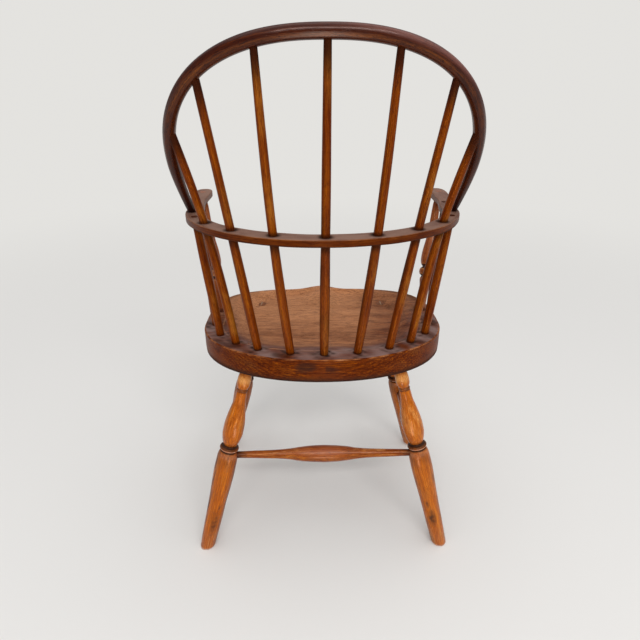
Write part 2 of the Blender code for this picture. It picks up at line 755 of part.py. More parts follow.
def make_post(shop, word, side, seat, rail, rail_top):
    """A turned arm post between the seat and the paddle, with its wedge."""
    name = "arm_post_" + word
    foot, hole = post_socket(side), rail_hole(rail_arm(POST_RAIL_FORWARD), side)
    frame = axis_frame(foot, hole, Vector((1.0, 0.0, 0.0)))
    item = shop.part(name, turned_mesh(name, post_profile(foot, hole), TURNED_SIDES))
    item.matrix_local = frame
    wide = CLEARANCE / math.cos(math.pi / TURNED_SIDES)
    rows = post_profile(foot, hole, wide)
    upper = rows[:2]
    upper.append((rows[1][0] - CUTTER_RISE / 2, POST_TENON_RADIUS + wide))
    lower = [(CUTTER_RISE / 2, POST_SEAT_RADIUS + wide), (rows[-1][0] - CLEARANCE, POST_SEAT_RADIUS + wide)]
    for piece, label, part_rows, step in ((rail, "_tenon_hole", upper, bore), (seat, "_socket", lower, cut)):
        cutter = shop.cutter(name + label, turned_mesh(name + label, part_rows, TURNED_SIDES))
        cutter.matrix_local = frame
        step(piece, cutter)
    along = (hole - foot).normalized()
    head_place = foot + along * ((RAIL_HEIGHT - foot.z) / along.z)
    head = axis_frame(head_place, head_place + along, Vector((1.0, 0.0, 0.0)))
    drive_wedge(shop, "post_wedge_" + word, item, head, POST_WEDGE, rail_top)
    cut(item, rail_top)
    smooth_rounds(item)
    finish_part(item, LEG_WOOD, TURNED_ROUGHNESS)


def make_stretcher(shop, name, start, end, first_leg, second_leg):
    """A turned stretcher with a bulb in the middle and a tenon in each leg."""
    along = (end - start).normalized()
    reach = (end - start).length / 2 + STRETCHER_PAST_AXIS
    middle = (start + end) / 2
    frame = axis_frame(middle, end, Vector((0.0, 0.0, 1.0)))
    span = (end - start).length / 2
    half = [(reach, STRETCHER_END_RADIUS)]
    half += [(span * share, radius) for share, radius in reversed(STRETCHER_SHAPE)]
    profile = half + [(-height, radius) for height, radius in reversed(half[:-1])]
    item = shop.part(name, turned_mesh(name, profile, TURNED_SIDES))
    item.matrix_local = frame
    smooth_rounds(item)
    finish_part(item, STRETCHER_WOOD)
    wide = STRETCHER_END_RADIUS + CLEARANCE / math.cos(math.pi / TURNED_SIDES)
    depth = STRETCHER_PAST_AXIS + CLEARANCE
    for leg, place, inward in ((first_leg, start, along), (second_leg, end, -along)):
        label = name + "_in_" + leg.name
        rows = [(2 * max(radius for _, radius in LEG_SHAPE), wide), (-depth, wide)]
        mortise = shop.cutter(label, turned_mesh(label, rows, TURNED_SIDES))
        mortise.matrix_local = axis_frame(place, place + inward, Vector((0.0, 0.0, 1.0)))
        cut(leg, mortise)


# Assembly

def build_upper(shop, seat, rail, bow, rail_top):
    """Spindles and posts, with every socket that they need."""
    number = 1
    for side in (1.0, -1.0):
        rows = LONG_SPINDLES if side < 0 else LONG_SPINDLES[:0:-1]
        for seat_degrees, rail_degrees, bow_degrees in rows:
            name = f"back_spindle_{number}"
            points = long_spindle_line(seat_degrees, rail_degrees, bow_degrees, side)
            make_long_spindle(shop, name, points)
            cutter = spindle_cutter(shop, name, points)
            bore(rail, cutter)
            for piece in (seat, bow):
                cut(piece, cutter)
            number += 1
    short_rows = (
        ("rear", SHORT_REAR_SEAT, rail_back(SHORT_REAR_RAIL)),
        ("front", SHORT_FRONT_SEAT, rail_arm(SHORT_FRONT_FORWARD)),
    )
    for side, word in ((1.0, "left"), (-1.0, "right")):
        for label, seat_degrees, hole in short_rows:
            name = f"arm_spindle_{word}_{label}"
            points = short_spindle_line(seat_degrees, hole, side)
            make_short_spindle(shop, name, points, rail_top)
            cutter = spindle_cutter(shop, name, points)
            cut(seat, cutter)
            bore(rail, cutter)
        make_post(shop, word, side, seat, rail, rail_top)


def build_legs(shop, seat, floor):
    """Four legs with their wedges, and the box of stretchers between them."""
    legs, axes = {}, {}
    places = (("rear", REAR_LEG_SEAT_Y, REAR_FOOT), ("front", FRONT_LEG_SEAT_Y, FRONT_FOOT))
    for side, word in ((1.0, "left"), (-1.0, "right")):
        for label, seat_y, foot in places:
            axis = leg_axis(seat_y, foot, side)
            legs[label, word] = make_leg(shop, f"{label}_{word}", axis, seat, floor)
            axes[label, word] = axis
    runs = (
        ("stretcher_rear", REAR_STRETCHER_HEIGHT, ("rear", "left"), ("rear", "right")),
        ("stretcher_front", FRONT_STRETCHER_HEIGHT, ("front", "left"), ("front", "right")),
        ("stretcher_left", SIDE_STRETCHER_HEIGHT, ("rear", "left"), ("front", "left")),
        ("stretcher_right", SIDE_STRETCHER_HEIGHT, ("rear", "right"), ("front", "right")),
    )
    for name, height, first, second in runs:
        start, end = axis_at(axes[first], height), axis_at(axes[second], height)
        make_stretcher(shop, name, start, end, legs[first], legs[second])


def build_bow(shop, rail, below_rail):
    """The bow with its feet through the rail, each spread by a wedge from below."""
    points, radii = bow_path()
    bow = shop.part("back_bow", rod_mesh("back_bow", points, radii, BOW_SIDES))
    wide = CLEARANCE / math.cos(math.pi / BOW_SIDES)
    for side, word in ((1.0, "left"), (-1.0, "right")):
        flip = Matrix.Diagonal((side, 1.0, 1.0)).to_3x3()
        ends = [flip @ place for place in points[:2]]
        hole = rod_mesh("bow_hole", ends, [BOW_TENON_RADIUS + wide] * 2, BOW_SIDES)
        bore(rail, shop.cutter(f"bow_hole_{word}", hole))
        drive_wedge(shop, "bow_wedge_" + word, bow, bow_foot_frame(side), BOW_WEDGE, below_rail)
    cut(bow, below_rail)
    return bow


def level_cutter(shop, name, low, high):
    """A block wider than the chair that trims pieces at a level."""
    span = CUTTER_SPAN
    return shop.cutter(name, block_mesh(name, (-span, -span, low), (span, span, high)))


def centre_on_origin(shop):
    """Move the chair so that its middle lies over the origin, with its feet on z = 0."""
    bpy.context.view_layer.update()
    depsgraph = bpy.context.evaluated_depsgraph_get()
    lows, highs = [], []
    for item in shop.parts.objects:
        if item.type == "EMPTY":
            continue
        ready = item.evaluated_get(depsgraph)
        mesh = ready.to_mesh()
        depths = [(ready.matrix_world @ vert.co).y for vert in mesh.vertices]
        lows.append(min(depths))
        highs.append(max(depths))
        ready.to_mesh_clear()
    shop.origin.location.y = -(min(lows) + max(highs)) / 2


def main():
    """Build the chair from the seat outwards."""
    clear_scene()
    shop = Shop()
    floor = level_cutter(shop, "floor_plane", -CUTTER_DEPTH, 0.0)
    rail_top = level_cutter(shop, "rail_top", RAIL_HEIGHT, RAIL_HEIGHT + CUTTER_DEPTH)
    below_rail = level_cutter(shop, "below_rail", RAIL_UNDERSIDE - CUTTER_DEPTH, RAIL_UNDERSIDE)
    seat = shop.part("seat", seat_mesh())
    rail = shop.part("arm_rail", rail_mesh())
    edges = rail.modifiers.new("edges", "BEVEL")
    edges.width = RAIL_EDGE_ROUND
    edges.segments = 2
    edges.limit_method = "ANGLE"
    edges.angle_limit = math.radians(50)
    bow = build_bow(shop, rail, below_rail)
    build_upper(shop, seat, rail, bow, rail_top)
    build_legs(shop, seat, floor)
    for piece, colour in ((seat, SEAT_WOOD), (rail, RAIL_WOOD), (bow, BOW_WOOD)):
        smooth_rounds(piece)
        finish_part(piece, colour)
    centre_on_origin(shop)


main()
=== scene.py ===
# %% [markdown]
# # A sack-back windsor armchair, dressed
#
# The packed solids are a plain frame of this chair: every piece is there, but its rounds are faceted
# and its wood is one colour. Here each piece is made again as a smooth skin that lies where its solid
# lies, and then gets old waxed wood. We work from the seat up and down, in the order a maker would.

import math

import bmesh
import bpy
import numpy as np
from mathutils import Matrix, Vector


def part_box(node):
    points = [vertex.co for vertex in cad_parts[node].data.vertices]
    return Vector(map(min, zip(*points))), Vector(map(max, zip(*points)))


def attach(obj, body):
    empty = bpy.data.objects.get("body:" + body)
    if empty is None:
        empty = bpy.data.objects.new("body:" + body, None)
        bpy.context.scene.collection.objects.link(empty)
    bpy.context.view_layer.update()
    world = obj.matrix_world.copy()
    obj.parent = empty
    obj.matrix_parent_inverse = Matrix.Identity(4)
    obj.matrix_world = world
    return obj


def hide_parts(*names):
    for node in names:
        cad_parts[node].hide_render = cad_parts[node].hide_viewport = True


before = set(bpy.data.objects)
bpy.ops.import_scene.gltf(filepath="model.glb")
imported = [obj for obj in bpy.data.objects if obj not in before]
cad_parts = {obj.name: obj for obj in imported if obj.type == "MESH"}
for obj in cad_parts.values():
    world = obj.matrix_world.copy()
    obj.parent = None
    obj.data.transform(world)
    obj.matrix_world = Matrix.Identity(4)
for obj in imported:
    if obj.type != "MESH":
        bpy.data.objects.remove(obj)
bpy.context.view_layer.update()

# %% [markdown]
# ## Sizes
#
# A chairmaker measures the seat first and fits everything to it. The levels that matter are read from
# the solids, so the skins follow if a solid changes. The other numbers are those that the solids were
# drawn with. While we work, y = 0 is the line where the seat is widest. `TO_ROW` moves a finished
# point to the solids' own frame.

# %% Levels and sizes
seat_low, seat_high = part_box("seat")
rail_low, rail_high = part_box("arm_rail")
SEAT_TOP, SEAT_UNDER, SEAT_HALF = seat_high.z, seat_low.z, seat_high.x
RAIL_TOP, RAIL_UNDER = rail_high.z, rail_low.z
RAIL_MIDDLE = (RAIL_TOP + RAIL_UNDER) / 2
SEAT_BACK, SEAT_FRONT = 0.153, 0.182
TO_ROW = np.array([0.0, seat_high.y - SEAT_BACK, 0.0])
RAIL_HALF, RAIL_BACK = 0.233, 0.188
ARM_REACH, NOSE = 0.182, 0.034
BOW_LEAN = math.radians(38.8)
INSET = 0.0001
SIDES = ((1, "left"), (-1, "right"))
print("seat top", round(SEAT_TOP, 4), "rail top", round(RAIL_TOP, 4), "shift", TO_ROW.round(4))

# %% [markdown]
# ## Small tools
#
# A few small functions carry most of the work. `ease` is a smooth step, which blends one size into
# another without a corner, and `fade` is the same step downwards. `bell` is a soft bump, for a groove,
# a ring of dirt or a rubbed edge, and `most` lays several such patterns over each other.

# %% Ease, fade, bell and most
def ease(low, high, value):
    """3t^2 - 2t^3, where t runs from 0 at low to 1 at high."""
    t = np.clip((np.asarray(value, float) - low) / (high - low), 0.0, 1.0)
    return t * t * (3.0 - 2.0 * t)


def fade(low, high, value):
    """1 less ease: 1 up to low, and 0 from high on."""
    return 1.0 - ease(low, high, value)


def bell(value, middle, width, power=2):
    """exp(-|(value - middle) / width|^power): 1 at the middle, and near 0 two widths away."""
    return np.exp(-(np.abs((value - middle) / width) ** power))


def most(*patterns):
    """The largest of several patterns at each point."""
    return np.maximum.reduce(np.broadcast_arrays(*patterns))


print("ease at a quarter:", float(ease(0, 1, 0.25)), "bell at one width:", round(float(bell(1, 0, 1)), 3))

# %% [markdown]
# `through` draws a smooth line through measured points without overshoot, as a turner's eye does
# between two caliper settings. `waver` is a sum of a few slow waves, and stands for the small
# unevenness that hand tools leave.

# %% Through, waver and a full turn
def through(stations, values, at):
    """A monotone cubic: each slope is the harmonic mean of its neighbours' slopes, 0 at a turn."""
    x, y = np.asarray(stations, float), np.asarray(values, float)
    step = np.diff(x)
    rise = np.diff(y) / step
    left, right = rise[:-1], rise[1:]
    slope = np.concatenate([rise[:1], np.zeros(len(x) - 2), rise[-1:]])
    same = left * right > 0
    total = np.where(same, left + right, 1.0)
    slope[1:-1] = np.where(same, 2 * left * right / total, 0.0)
    at = np.clip(np.asarray(at, float), x[0], x[-1])
    spot = np.clip(np.searchsorted(x, at, side="right") - 1, 0, len(step) - 1)
    t = (at - x[spot]) / step[spot]
    base, up = y[spot], y[spot + 1]
    bend = step[spot] * (slope[spot] * t * (1 - t) ** 2 - slope[spot + 1] * t * t * (1 - t))
    return base + (up - base) * t * t * (3 - 2 * t) + bend


def waver(u, v, seed, waves=7):
    """A sum of waves sin(a u + b v + c), with seeded a, b and c, about 1 high."""
    draw = np.random.default_rng(seed)
    a, b = draw.uniform(-6.0, 6.0, waves), draw.uniform(-6.0, 6.0, waves)
    c = draw.uniform(0.0, math.tau, waves)
    u, v = np.broadcast_arrays(np.asarray(u, float), np.asarray(v, float))
    return sum(np.sin(a[k] * u + b[k] * v + c[k]) for k in range(waves)) / math.sqrt(waves)


def full_turn(around):
    """Angles once round, as one row."""
    return np.linspace(0, math.tau, around, endpoint=False)[None, :]


print("a line through 0, 1, 0, at the first half:", float(through((0, 1, 2), (0, 1, 0), 0.5)))

# %% [markdown]
# ## From a grid of points to a closed skin
#
# Every new piece is a grid: rows run along the piece and columns run round it. Beside its place, each
# point carries where it lay in the straight stock before bending and turning, so that the grain of a
# bent rail follows the bend. The first and last rows close to a point.

# %% Caps
CAP_SHARES = np.array([0.0, 0.45, 0.9])


def close_ends(rows):
    """Add caps: each end row is drawn towards its middle in three steps, the last one a point."""
    shares = CAP_SHARES[:, None, None]
    head, tail = (end.mean(1, keepdims=True) * (1 - share) + end * share
                  for end, share in ((rows[:1], shares), (rows[-1:], shares[::-1])))
    return np.concatenate([head, rows, tail])


def over_caps(values):
    """The first and the last value carried on over the rows that close_ends adds."""
    extra = len(CAP_SHARES)
    return np.concatenate([values[:1]] * extra + [values] + [values[-1:]] * extra)


print("a tube of 5 rows, closed, has", len(close_ends(np.ones((5, 8, 6)))))

# %% [markdown]
# The volume comes from the sum of the signed cones under the faces. It tells us whether the faces
# point outwards, and is a good check of the size. `tones` holds the three coats that lie on the wood.

# %% The closed mesh
def tones(grime_and_shade, wear_and_highlight, dust_and_sheen):
    """The finish at each point: how much dirt and painted shade, how much rubbing and painted highlight, and
    how much dust and painted sheen, each 0 to 1.
    """
    parts = np.broadcast_arrays(*(np.asarray(part, float) for part in (grime_and_shade, wear_and_highlight, dust_and_sheen)))
    return np.clip(np.stack(parts, -1), 0.0, 1.0)


def closed_mesh(name, rows, finish):
    """Quads between neighbouring rows and columns. Volume is the sum of a.(b x c) + a.(c x d), by 6."""
    count, around = rows.shape[:2]
    here = np.arange(around)
    after = np.roll(here, -1)
    lift = (around * np.arange(count - 1))[:, None]
    faces = np.stack([here + lift, after + lift, after + lift + around, here + lift + around], -1)
    faces = faces.reshape(-1, 4)
    places = rows[..., :3].reshape(-1, 3) + TO_ROW
    a, b, c, d = (places[faces[:, k]] for k in range(4))
    volume = float((a * np.cross(b, c) + a * np.cross(c, d)).sum() / 6)
    mesh = bpy.data.meshes.new(name)
    mesh.from_pydata(places.tolist(), [], faces[:, :: 1 if volume > 0 else -1].tolist())
    colours = np.concatenate([finish, np.ones(finish.shape[:2] + (1,))], -1)
    for layer, kind, field, values in (("stock", "FLOAT_VECTOR", "vector", rows[..., 3:]),
                                       ("finish", "FLOAT_COLOR", "color", colours)):
        data = mesh.attributes.new(layer, kind, "POINT").data
        data.foreach_set(field, values.astype(np.float32).ravel())
    return mesh, abs(volume)


print("a finish stays within 0 and 1:", tones(0.2, 0.5, 2.0))

# %% The skin that stands for a solid
MERGE_WITHIN = 1e-7
CM3 = 1e6


def skin(name, rows, finish, node, material):
    """A smooth closed piece from rows of (place, stock) sextets, standing for a CAD node."""
    mesh, volume = closed_mesh(name, rows, finish)
    shape = bmesh.new()
    shape.from_mesh(mesh)
    bmesh.ops.remove_doubles(shape, verts=shape.verts, dist=MERGE_WITHIN)
    shape.normal_update()
    bmesh.ops.recalc_face_normals(shape, faces=shape.faces)
    shape.to_mesh(mesh)
    loose = sum(not edge.is_manifold for edge in shape.edges)
    shape.free()
    mesh.polygons.foreach_set("use_smooth", np.ones(len(mesh.polygons), bool))
    mesh.materials.append(material)
    piece = bpy.data.objects.new(name, mesh)
    bpy.context.scene.collection.objects.link(piece)
    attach(piece, "root")
    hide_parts(node)
    print(f"{name}: {volume * CM3:.0f} cm3, {len(mesh.polygons)} faces, {loose} open edges")


print("doubles merge within, mm:", MERGE_WITHIN * 1000)

# %% [markdown]
# ## Old waxed wood
#
# The woods differ in colour, but age the same way. Fine fibres and coarser streaks run along the
# stock, growth rings give the figure, and dark pores break the surface. Such a finish could be painted
# on a picture, but worked out from the stock it has no seams and follows every bend. The bench below
# keeps the recipe short: a number or a colour is set on its socket, and an output is linked to it.

# %% A bench for nodes
class Bench:
    """Adds nodes to a new material or world and links them, so that a finish reads as a recipe."""

    def __init__(self, made):
        made.use_nodes = True
        self.made, self.tree = made, made.node_tree
        self.shader = self.tree.nodes.get("Principled BSDF")

    def put(self, node, sockets):
        """Fill a node's sockets, each with a number, a colour, or an output to link."""
        for key, value in dict(sockets).items():
            socket = node.inputs[key]
            if isinstance(value, bpy.types.NodeSocket):
                self.tree.links.new(value, socket)
            else:
                socket.default_value = (*value, 1.0) if socket.type == "RGBA" else value
        return node

    def add(self, kind, sockets=(), **settings):
        """A new node with its settings and its sockets."""
        node = self.tree.nodes.new(kind)
        for key, value in settings.items():
            setattr(node, key, value)
        return self.put(node, sockets)

    def maths(self, operation, first, second=0.0, clamp=False):
        """One sum on two numbers or outputs."""
        node = self.add("ShaderNodeMath", {0: first, 1: second}, operation=operation, use_clamp=clamp)
        return node.outputs[0]

    def times(self, first, second, clamp=False):
        """A product."""
        return self.maths("MULTIPLY", first, second, clamp)

    def weighed(self, *parts, base=None):
        """base + w1 a1 + w2 a2 + ..., from pairs of an output a and its weight w."""
        total = base
        for output, weight in parts:
            product = self.times(output, weight)
            total = product if total is None else self.maths("ADD", total, product)
        return total

    def spread(self, value, low, high):
        """Stretch a texture so that low becomes 0 and high becomes 1, with soft ends."""
        node = self.add("ShaderNodeMapRange", {"Value": value, "From Min": low, "From Max": high},
                        interpolation_type="SMOOTHSTEP")
        return node.outputs["Result"]

    def patchy(self, amount, noise, widening=0.35, low=0.44, high=0.82):
        """amount times a step of noise that widens with it: a little comes in spots, a lot is solid."""
        reach = self.weighed((amount, widening), base=noise)
        return self.times(amount, self.spread(reach, low, high), clamp=True)

    def noise(self, vector, scale, detail, rough):
        """Cloudy noise from 0 to 1."""
        sockets = {"Vector": vector, "Scale": scale, "Detail": detail, "Roughness": rough}
        return self.add("ShaderNodeTexNoise", sockets).outputs["Fac"]

    def stretch(self, vector, across, along):
        """Scale a place, so that a round texture becomes a long streak."""
        node = self.add("ShaderNodeMapping", {"Vector": vector, "Scale": (across, across, along)})
        return node.outputs["Vector"]

    def mix(self, share, first, second):
        """Two colours mixed by a share."""
        return self.add("ShaderNodeMix", {0: share, 6: first, 7: second}, data_type="RGBA").outputs[2]


print("tools on the bench:", [tool for tool in vars(Bench) if not tool.startswith("_")])

# %% [markdown]
# Six patterns make the wood itself. Each is noise on the stock, drawn out along the grain, or rings
# round the stock's middle. Their numbers are waves in a metre, across the grain and along it.

# %% Patterns in the wood
FIBRES, STREAKS, CLOUDS, DASHES = (1500.0, 34.0), (430.0, 9.0), (55.0, 16.0), (1100.0, 90.0)


def wood_patterns(bench, grain, long, ring, freckle):
    """Fibre, streak, clouds, rings, spots and dashes. More grain is finer, and more long is longer."""
    stock = bench.add("ShaderNodeAttribute", attribute_name="stock").outputs["Vector"]
    noises = [bench.noise(bench.stretch(stock, across, along), 1.0, detail, rough)
              for across, along, detail, rough in (
                  (FIBRES[0] * grain, FIBRES[1] / long, 4.0, 0.65),
                  (STREAKS[0] * grain, STREAKS[1] / long, 3.0, 0.6), (*CLOUDS, 4.0, 0.6),
                  (freckle, freckle * 0.35, 3.0, 0.6), (DASHES[0], DASHES[1] / long, 3.0, 0.55))]
    rings = bench.add("ShaderNodeTexWave", {
        "Vector": bench.stretch(stock, 1.0, 0.08), "Scale": ring / math.tau, "Distortion": 6.0,
        "Detail": 2.0, "Detail Scale": 0.18, "Detail Roughness": 0.6},
        wave_type="RINGS", rings_direction="Z").outputs["Fac"]
    return noises[:3] + [rings] + noises[3:]


print("a fibre and a streak are about, mm wide:", [round(1000 / wave[0], 2) for wave in (FIBRES, STREAKS)])

# %% [markdown]
# Over the wood lie the coats that each piece carries as its `finish`: rubbed wood on the edges,
# dull dust on what faces up, and dirt in the corners. On many pieces the same coats also carry painted
# light: painted highlights and sheen in the rubbing and the dust, and painted shade in the dirt. Real
# wax builds up in that order too, so the tones are laid one over the other in a list. One builder
# makes all the woods, so they stay a family.

# %% The builder of waxed woods
AMBER, GARNET, ROSE = (1.0, 0.67, 0.42), (1.0, 0.50, 0.28), (1.0, 0.66, 0.56)


def waxed_wood(name, dark, middle, light, dirt_and_shade, rubbed_and_highlight_tone, dust_and_sheen_tone, gloss=0.30, figure=0.12, ring=260.0,
               specks=0.4, ticks=0.4, patch=0.30, shine=0.30, coat=0.03, grain=1.0, long=1.0, hewn=1.2,
               freckle=1000.0, gleam=AMBER):
    """Lay tones over each other by their shares: wood, rings, rubbing and painted highlight, ticks, specks,
    dust and painted sheen, and dirt and painted shade.
    """
    bench = Bench(bpy.data.materials.new(name))
    fibre, streak, clouds, rings, spots, dashes = wood_patterns(bench, grain, long, ring, freckle)
    coats = bench.add("ShaderNodeAttribute", attribute_name="finish").outputs["Color"]
    grime_and_shade, wear_and_highlight, dust_and_sheen = bench.add("ShaderNodeSeparateColor", {"Color": coats}).outputs
    body = bench.weighed((streak, 0.40), (fibre, 0.30), (clouds, 0.30))
    uneven = bench.times(bench.maths("ADD", fibre, clouds), 0.5)
    speck, tick = bench.spread(spots, 0.59, 0.67), bench.spread(dashes, 0.54, 0.64)
    paler = tuple(0.48 * a + 0.52 * b for a, b in zip(middle, rubbed_and_highlight_tone))
    worn = bench.mix(bench.spread(body, 0.36, 0.60), paler, rubbed_and_highlight_tone)
    dulling = bench.maths("ADD", bench.spread(uneven, 0.35, 0.65), 0.35, clamp=True)
    haze = bench.times(dust_and_sheen, dulling)
    soil_and_shade = bench.patchy(grime_and_shade, bench.mix(0.72, spots, clouds))
    tone = bench.mix(bench.spread(body, 0.36, 0.53), dark, middle)
    # The rubbed tone also lays painted highlights, the dust tone painted sheen and the dirt tone painted
    # shade.
    for share, colour in ((bench.spread(body, 0.49, 0.64), light),
                          (bench.times(bench.spread(rings, 0.45, 0.95), figure), dark),
                          (bench.times(bench.spread(clouds, 0.50, 0.70), patch), dark),
                          (bench.patchy(wear_and_highlight, uneven), worn), (bench.times(tick, ticks), dark),
                          (bench.times(speck, specks), dirt_and_shade), (haze, dust_and_sheen_tone), (soil_and_shade, dirt_and_shade)):
        tone = bench.mix(share, tone, colour)
    rough = bench.weighed((body, 0.20), (haze, 0.18), base=gloss - 0.10)
    rough = bench.maths("ADD", rough, bench.times(soil_and_shade, 0.34), clamp=True)
    relief = bench.maths("SUBTRACT", bench.times(fibre, 0.35), bench.times(tick, 0.5))
    relief = bench.weighed((clouds, hewn), base=relief)
    bump = bench.add("ShaderNodeBump", {"Height": relief, "Strength": 0.35, "Distance": 0.00025})
    bench.put(bench.shader, {
        "Base Color": tone, "Roughness": rough, "Normal": bump.outputs["Normal"], "Specular Tint": gleam,
        "Specular IOR Level": shine, "Coat Weight": coat, "Coat Roughness": 0.18})
    print(f"{name}: {len(bench.tree.nodes)} nodes")
    return bench.made


print("tints of the gloss:", AMBER, GARNET, ROSE)

# %% [markdown]
# The legs are turned, here from honey-coloured maple. The stretchers and the arm posts are turned too,
# and are redder. Hands and feet have polished them all. Spindles are split from a tough wood and
# shaved, and keep a silkier face.

# %% Turned and shaved woods
turned_wood = waxed_wood(
    "turned_maple", dark=(0.270, 0.050, 0.001), middle=(0.530, 0.120, 0.002), light=(0.740, 0.212, 0.004),
    dirt_and_shade=(0.036, 0.011, 0.006), rubbed_and_highlight_tone=(0.88, 0.43, 0.13), dust_and_sheen_tone=(0.56, 0.33, 0.24), gloss=0.22,
    ticks=0.60, patch=0.40, coat=0.11)
stretcher_wood = waxed_wood(
    "turned_maple_red", dark=(0.150, 0.022, 0.001), middle=(0.330, 0.070, 0.002),
    light=(0.520, 0.155, 0.006), dirt_and_shade=(0.040, 0.006, 0.002), rubbed_and_highlight_tone=(0.66, 0.28, 0.08),
    dust_and_sheen_tone=(0.44, 0.16, 0.13), gloss=0.26, figure=0.08, specks=0.9, ticks=0.5, patch=0.40, freckle=560.0,
    coat=0.12)
spindle_wood = waxed_wood(
    "shaved_hickory", dark=(0.080, 0.009, 0.001), middle=(0.225, 0.042, 0.001),
    light=(0.370, 0.094, 0.001), dirt_and_shade=(0.026, 0.005, 0.002), rubbed_and_highlight_tone=(0.56, 0.220, 0.028),
    dust_and_sheen_tone=(0.24, 0.12, 0.06), figure=0.22, shine=0.12, ticks=0.85, coat=0.0, gleam=GARNET)

# %% [markdown]
# The bow and the rail are bent, here from oak, and have gone dark. The seat is a plank, here of pine:
# soft, so it has lost its gloss, and its rings show most.

# %% Bent and carved woods
bow_wood = waxed_wood(
    "bent_oak_dark", dark=(0.018, 0.002, 0.001), middle=(0.050, 0.007, 0.001), light=(0.110, 0.022, 0.001),
    dirt_and_shade=(0.014, 0.001, 0.001), rubbed_and_highlight_tone=(0.28, 0.078, 0.008), dust_and_sheen_tone=(0.30, 0.135, 0.115), gloss=0.22,
    shine=0.22, ticks=0.9, specks=0.8, coat=0.09, hewn=1.5, freckle=620.0, gleam=ROSE)
rail_wood = waxed_wood(
    "bent_oak_rail", dark=(0.046, 0.006, 0.001), middle=(0.118, 0.021, 0.001), light=(0.205, 0.050, 0.004),
    dirt_and_shade=(0.013, 0.004, 0.003), rubbed_and_highlight_tone=(0.38, 0.17, 0.080), dust_and_sheen_tone=(0.260, 0.150, 0.110), gloss=0.36,
    shine=0.14, grain=1.3, ticks=0.9, coat=0.0, hewn=2.0, gleam=GARNET)
seat_wood = waxed_wood(
    "carved_pine", dark=(0.034, 0.004, 0.001), middle=(0.150, 0.024, 0.001), light=(0.420, 0.098, 0.001),
    dirt_and_shade=(0.025, 0.013, 0.010), rubbed_and_highlight_tone=(0.600, 0.262, 0.110), dust_and_sheen_tone=(0.250, 0.157, 0.138), gloss=0.38,
    figure=0.34, ring=420.0, patch=0.45, specks=0.6, ticks=0.80, shine=0.09, coat=0.0, grain=1.2, long=1.7,
    hewn=2.0, gleam=GARNET)

# %% [markdown]
# ## The seat
#
# The seat is one thick plank, saddled with an adze and scrapers: flat round the rim, hollow inside, and
# with a ridge, the pommel, at the front. Seen from above its outline is two half superellipses, one
# behind the widest line and one before it. The top is a height over that plan. A grid in polar form
# suits it: each ring is the outline drawn in, from the middle of the top, over the edge, and back to
# the middle below.

# %% Seat plan and seat top
BACK_POWER, FRONT_POWER = 2.1, 3.6
DISH, RIM, SLOPE = 0.012, 0.034, 0.060
STEP, STEP_RUN, FRONT_EASE = 0.0006, 0.004, 0.25
POMMEL, POMMEL_SPREAD, POMMEL_RUN = 0.022, 0.036, 0.100


def seat_edge(angle):
    """Reach of the outline: (|sin a| / half width)^p + (|cos a| / reach)^p = 1 / r^p."""
    across, along = np.abs(np.sin(angle)), np.cos(angle)
    power = np.where(along < 0, FRONT_POWER, BACK_POWER)
    reach = np.where(along < 0, SEAT_FRONT, SEAT_BACK)
    return ((across / SEAT_HALF) ** power + (np.abs(along) / reach) ** power) ** (-1 / power)


def seat_half(forward):
    """Half width at a distance before the widest line: the front superellipse solved for x."""
    share = np.clip(forward / SEAT_FRONT, 0.0, 0.999)
    return SEAT_HALF * (1 - share ** FRONT_POWER) ** (1 / FRONT_POWER)


def seat_inside(x, y):
    """How far a point lies inside the outline: along its ray behind, and sideways in front."""
    behind = seat_edge(np.arctan2(np.abs(x), np.maximum(y, 0.0))) - np.hypot(x, y)
    return np.where(y >= 0, behind, seat_half(-y) - np.abs(x))


def seat_top(x, y):
    """The rim's level less a dish that eases in from the rim, and a bell-shaped ridge in front."""
    x, y = np.asarray(x, float), np.asarray(y, float)
    inside = seat_inside(x, y)
    dish = (DISH - STEP) * ease(RIM, RIM + SLOPE, inside) + STEP * ease(RIM, RIM + STEP_RUN, inside)
    forward = ease(SEAT_FRONT - POMMEL_RUN, SEAT_FRONT, -y)
    ridge = bell(x, 0.0, POMMEL_SPREAD) * forward
    return SEAT_TOP - dish * (1 - FRONT_EASE * forward) * (1 - ridge)


print("dish at the middle, mm:", round(float(SEAT_TOP - seat_top(0, 0)) * 1000, 1))

# %% [markdown]
# The spindles and posts stand in a line of sockets near the rim. Their places are needed twice: for the
# spindles themselves, and for the dark ring of old wax and dirt round each foot on the seat. A row of
# `LONG` holds a spindle's angles at the seat, the rail and the bow.

# %% Where the sockets are
SOCKET_INSET = 0.022
LONG = ((0.0, 0.0, 90.0), (16.4, 19.9, 71.8), (34.2, 39.2, 47.9), (49.8, 57.7, 20.5))
SHORT = (("rear", 67.5), ("front", 88.0))
SHORT_REAR_RAIL, SHORT_FRONT_FORWARD = 71.5, 0.045
POST_SEAT, POST_RAIL = 0.061, 0.146
LEG_X = 0.134
LEGS = {"rear": (0.080, (0.248, 0.157)), "front": (-0.120, (0.243, -0.172))}


def seat_socket(degrees, side):
    """The point on the seat's top at an angle from the middle of the back, on an ellipse."""
    turn = math.radians(degrees)
    x = side * (SEAT_HALF - SOCKET_INSET) * math.sin(turn)
    y = (SEAT_BACK - SOCKET_INSET) * math.cos(turn)
    return np.array([x, y, float(seat_top(x, y))])


def post_socket(side):
    """The point on the seat's top under an arm post."""
    x = side * float(seat_half(POST_SEAT) - SOCKET_INSET)
    return np.array([x, -POST_SEAT, float(seat_top(x, -POST_SEAT))])


FEET = [seat_socket(row[0], side) for side, _ in SIDES for row in LONG]
FEET += [seat_socket(degrees, side) for side, _ in SIDES for _, degrees in SHORT]
FEET += [post_socket(side) for side, _ in SIDES]


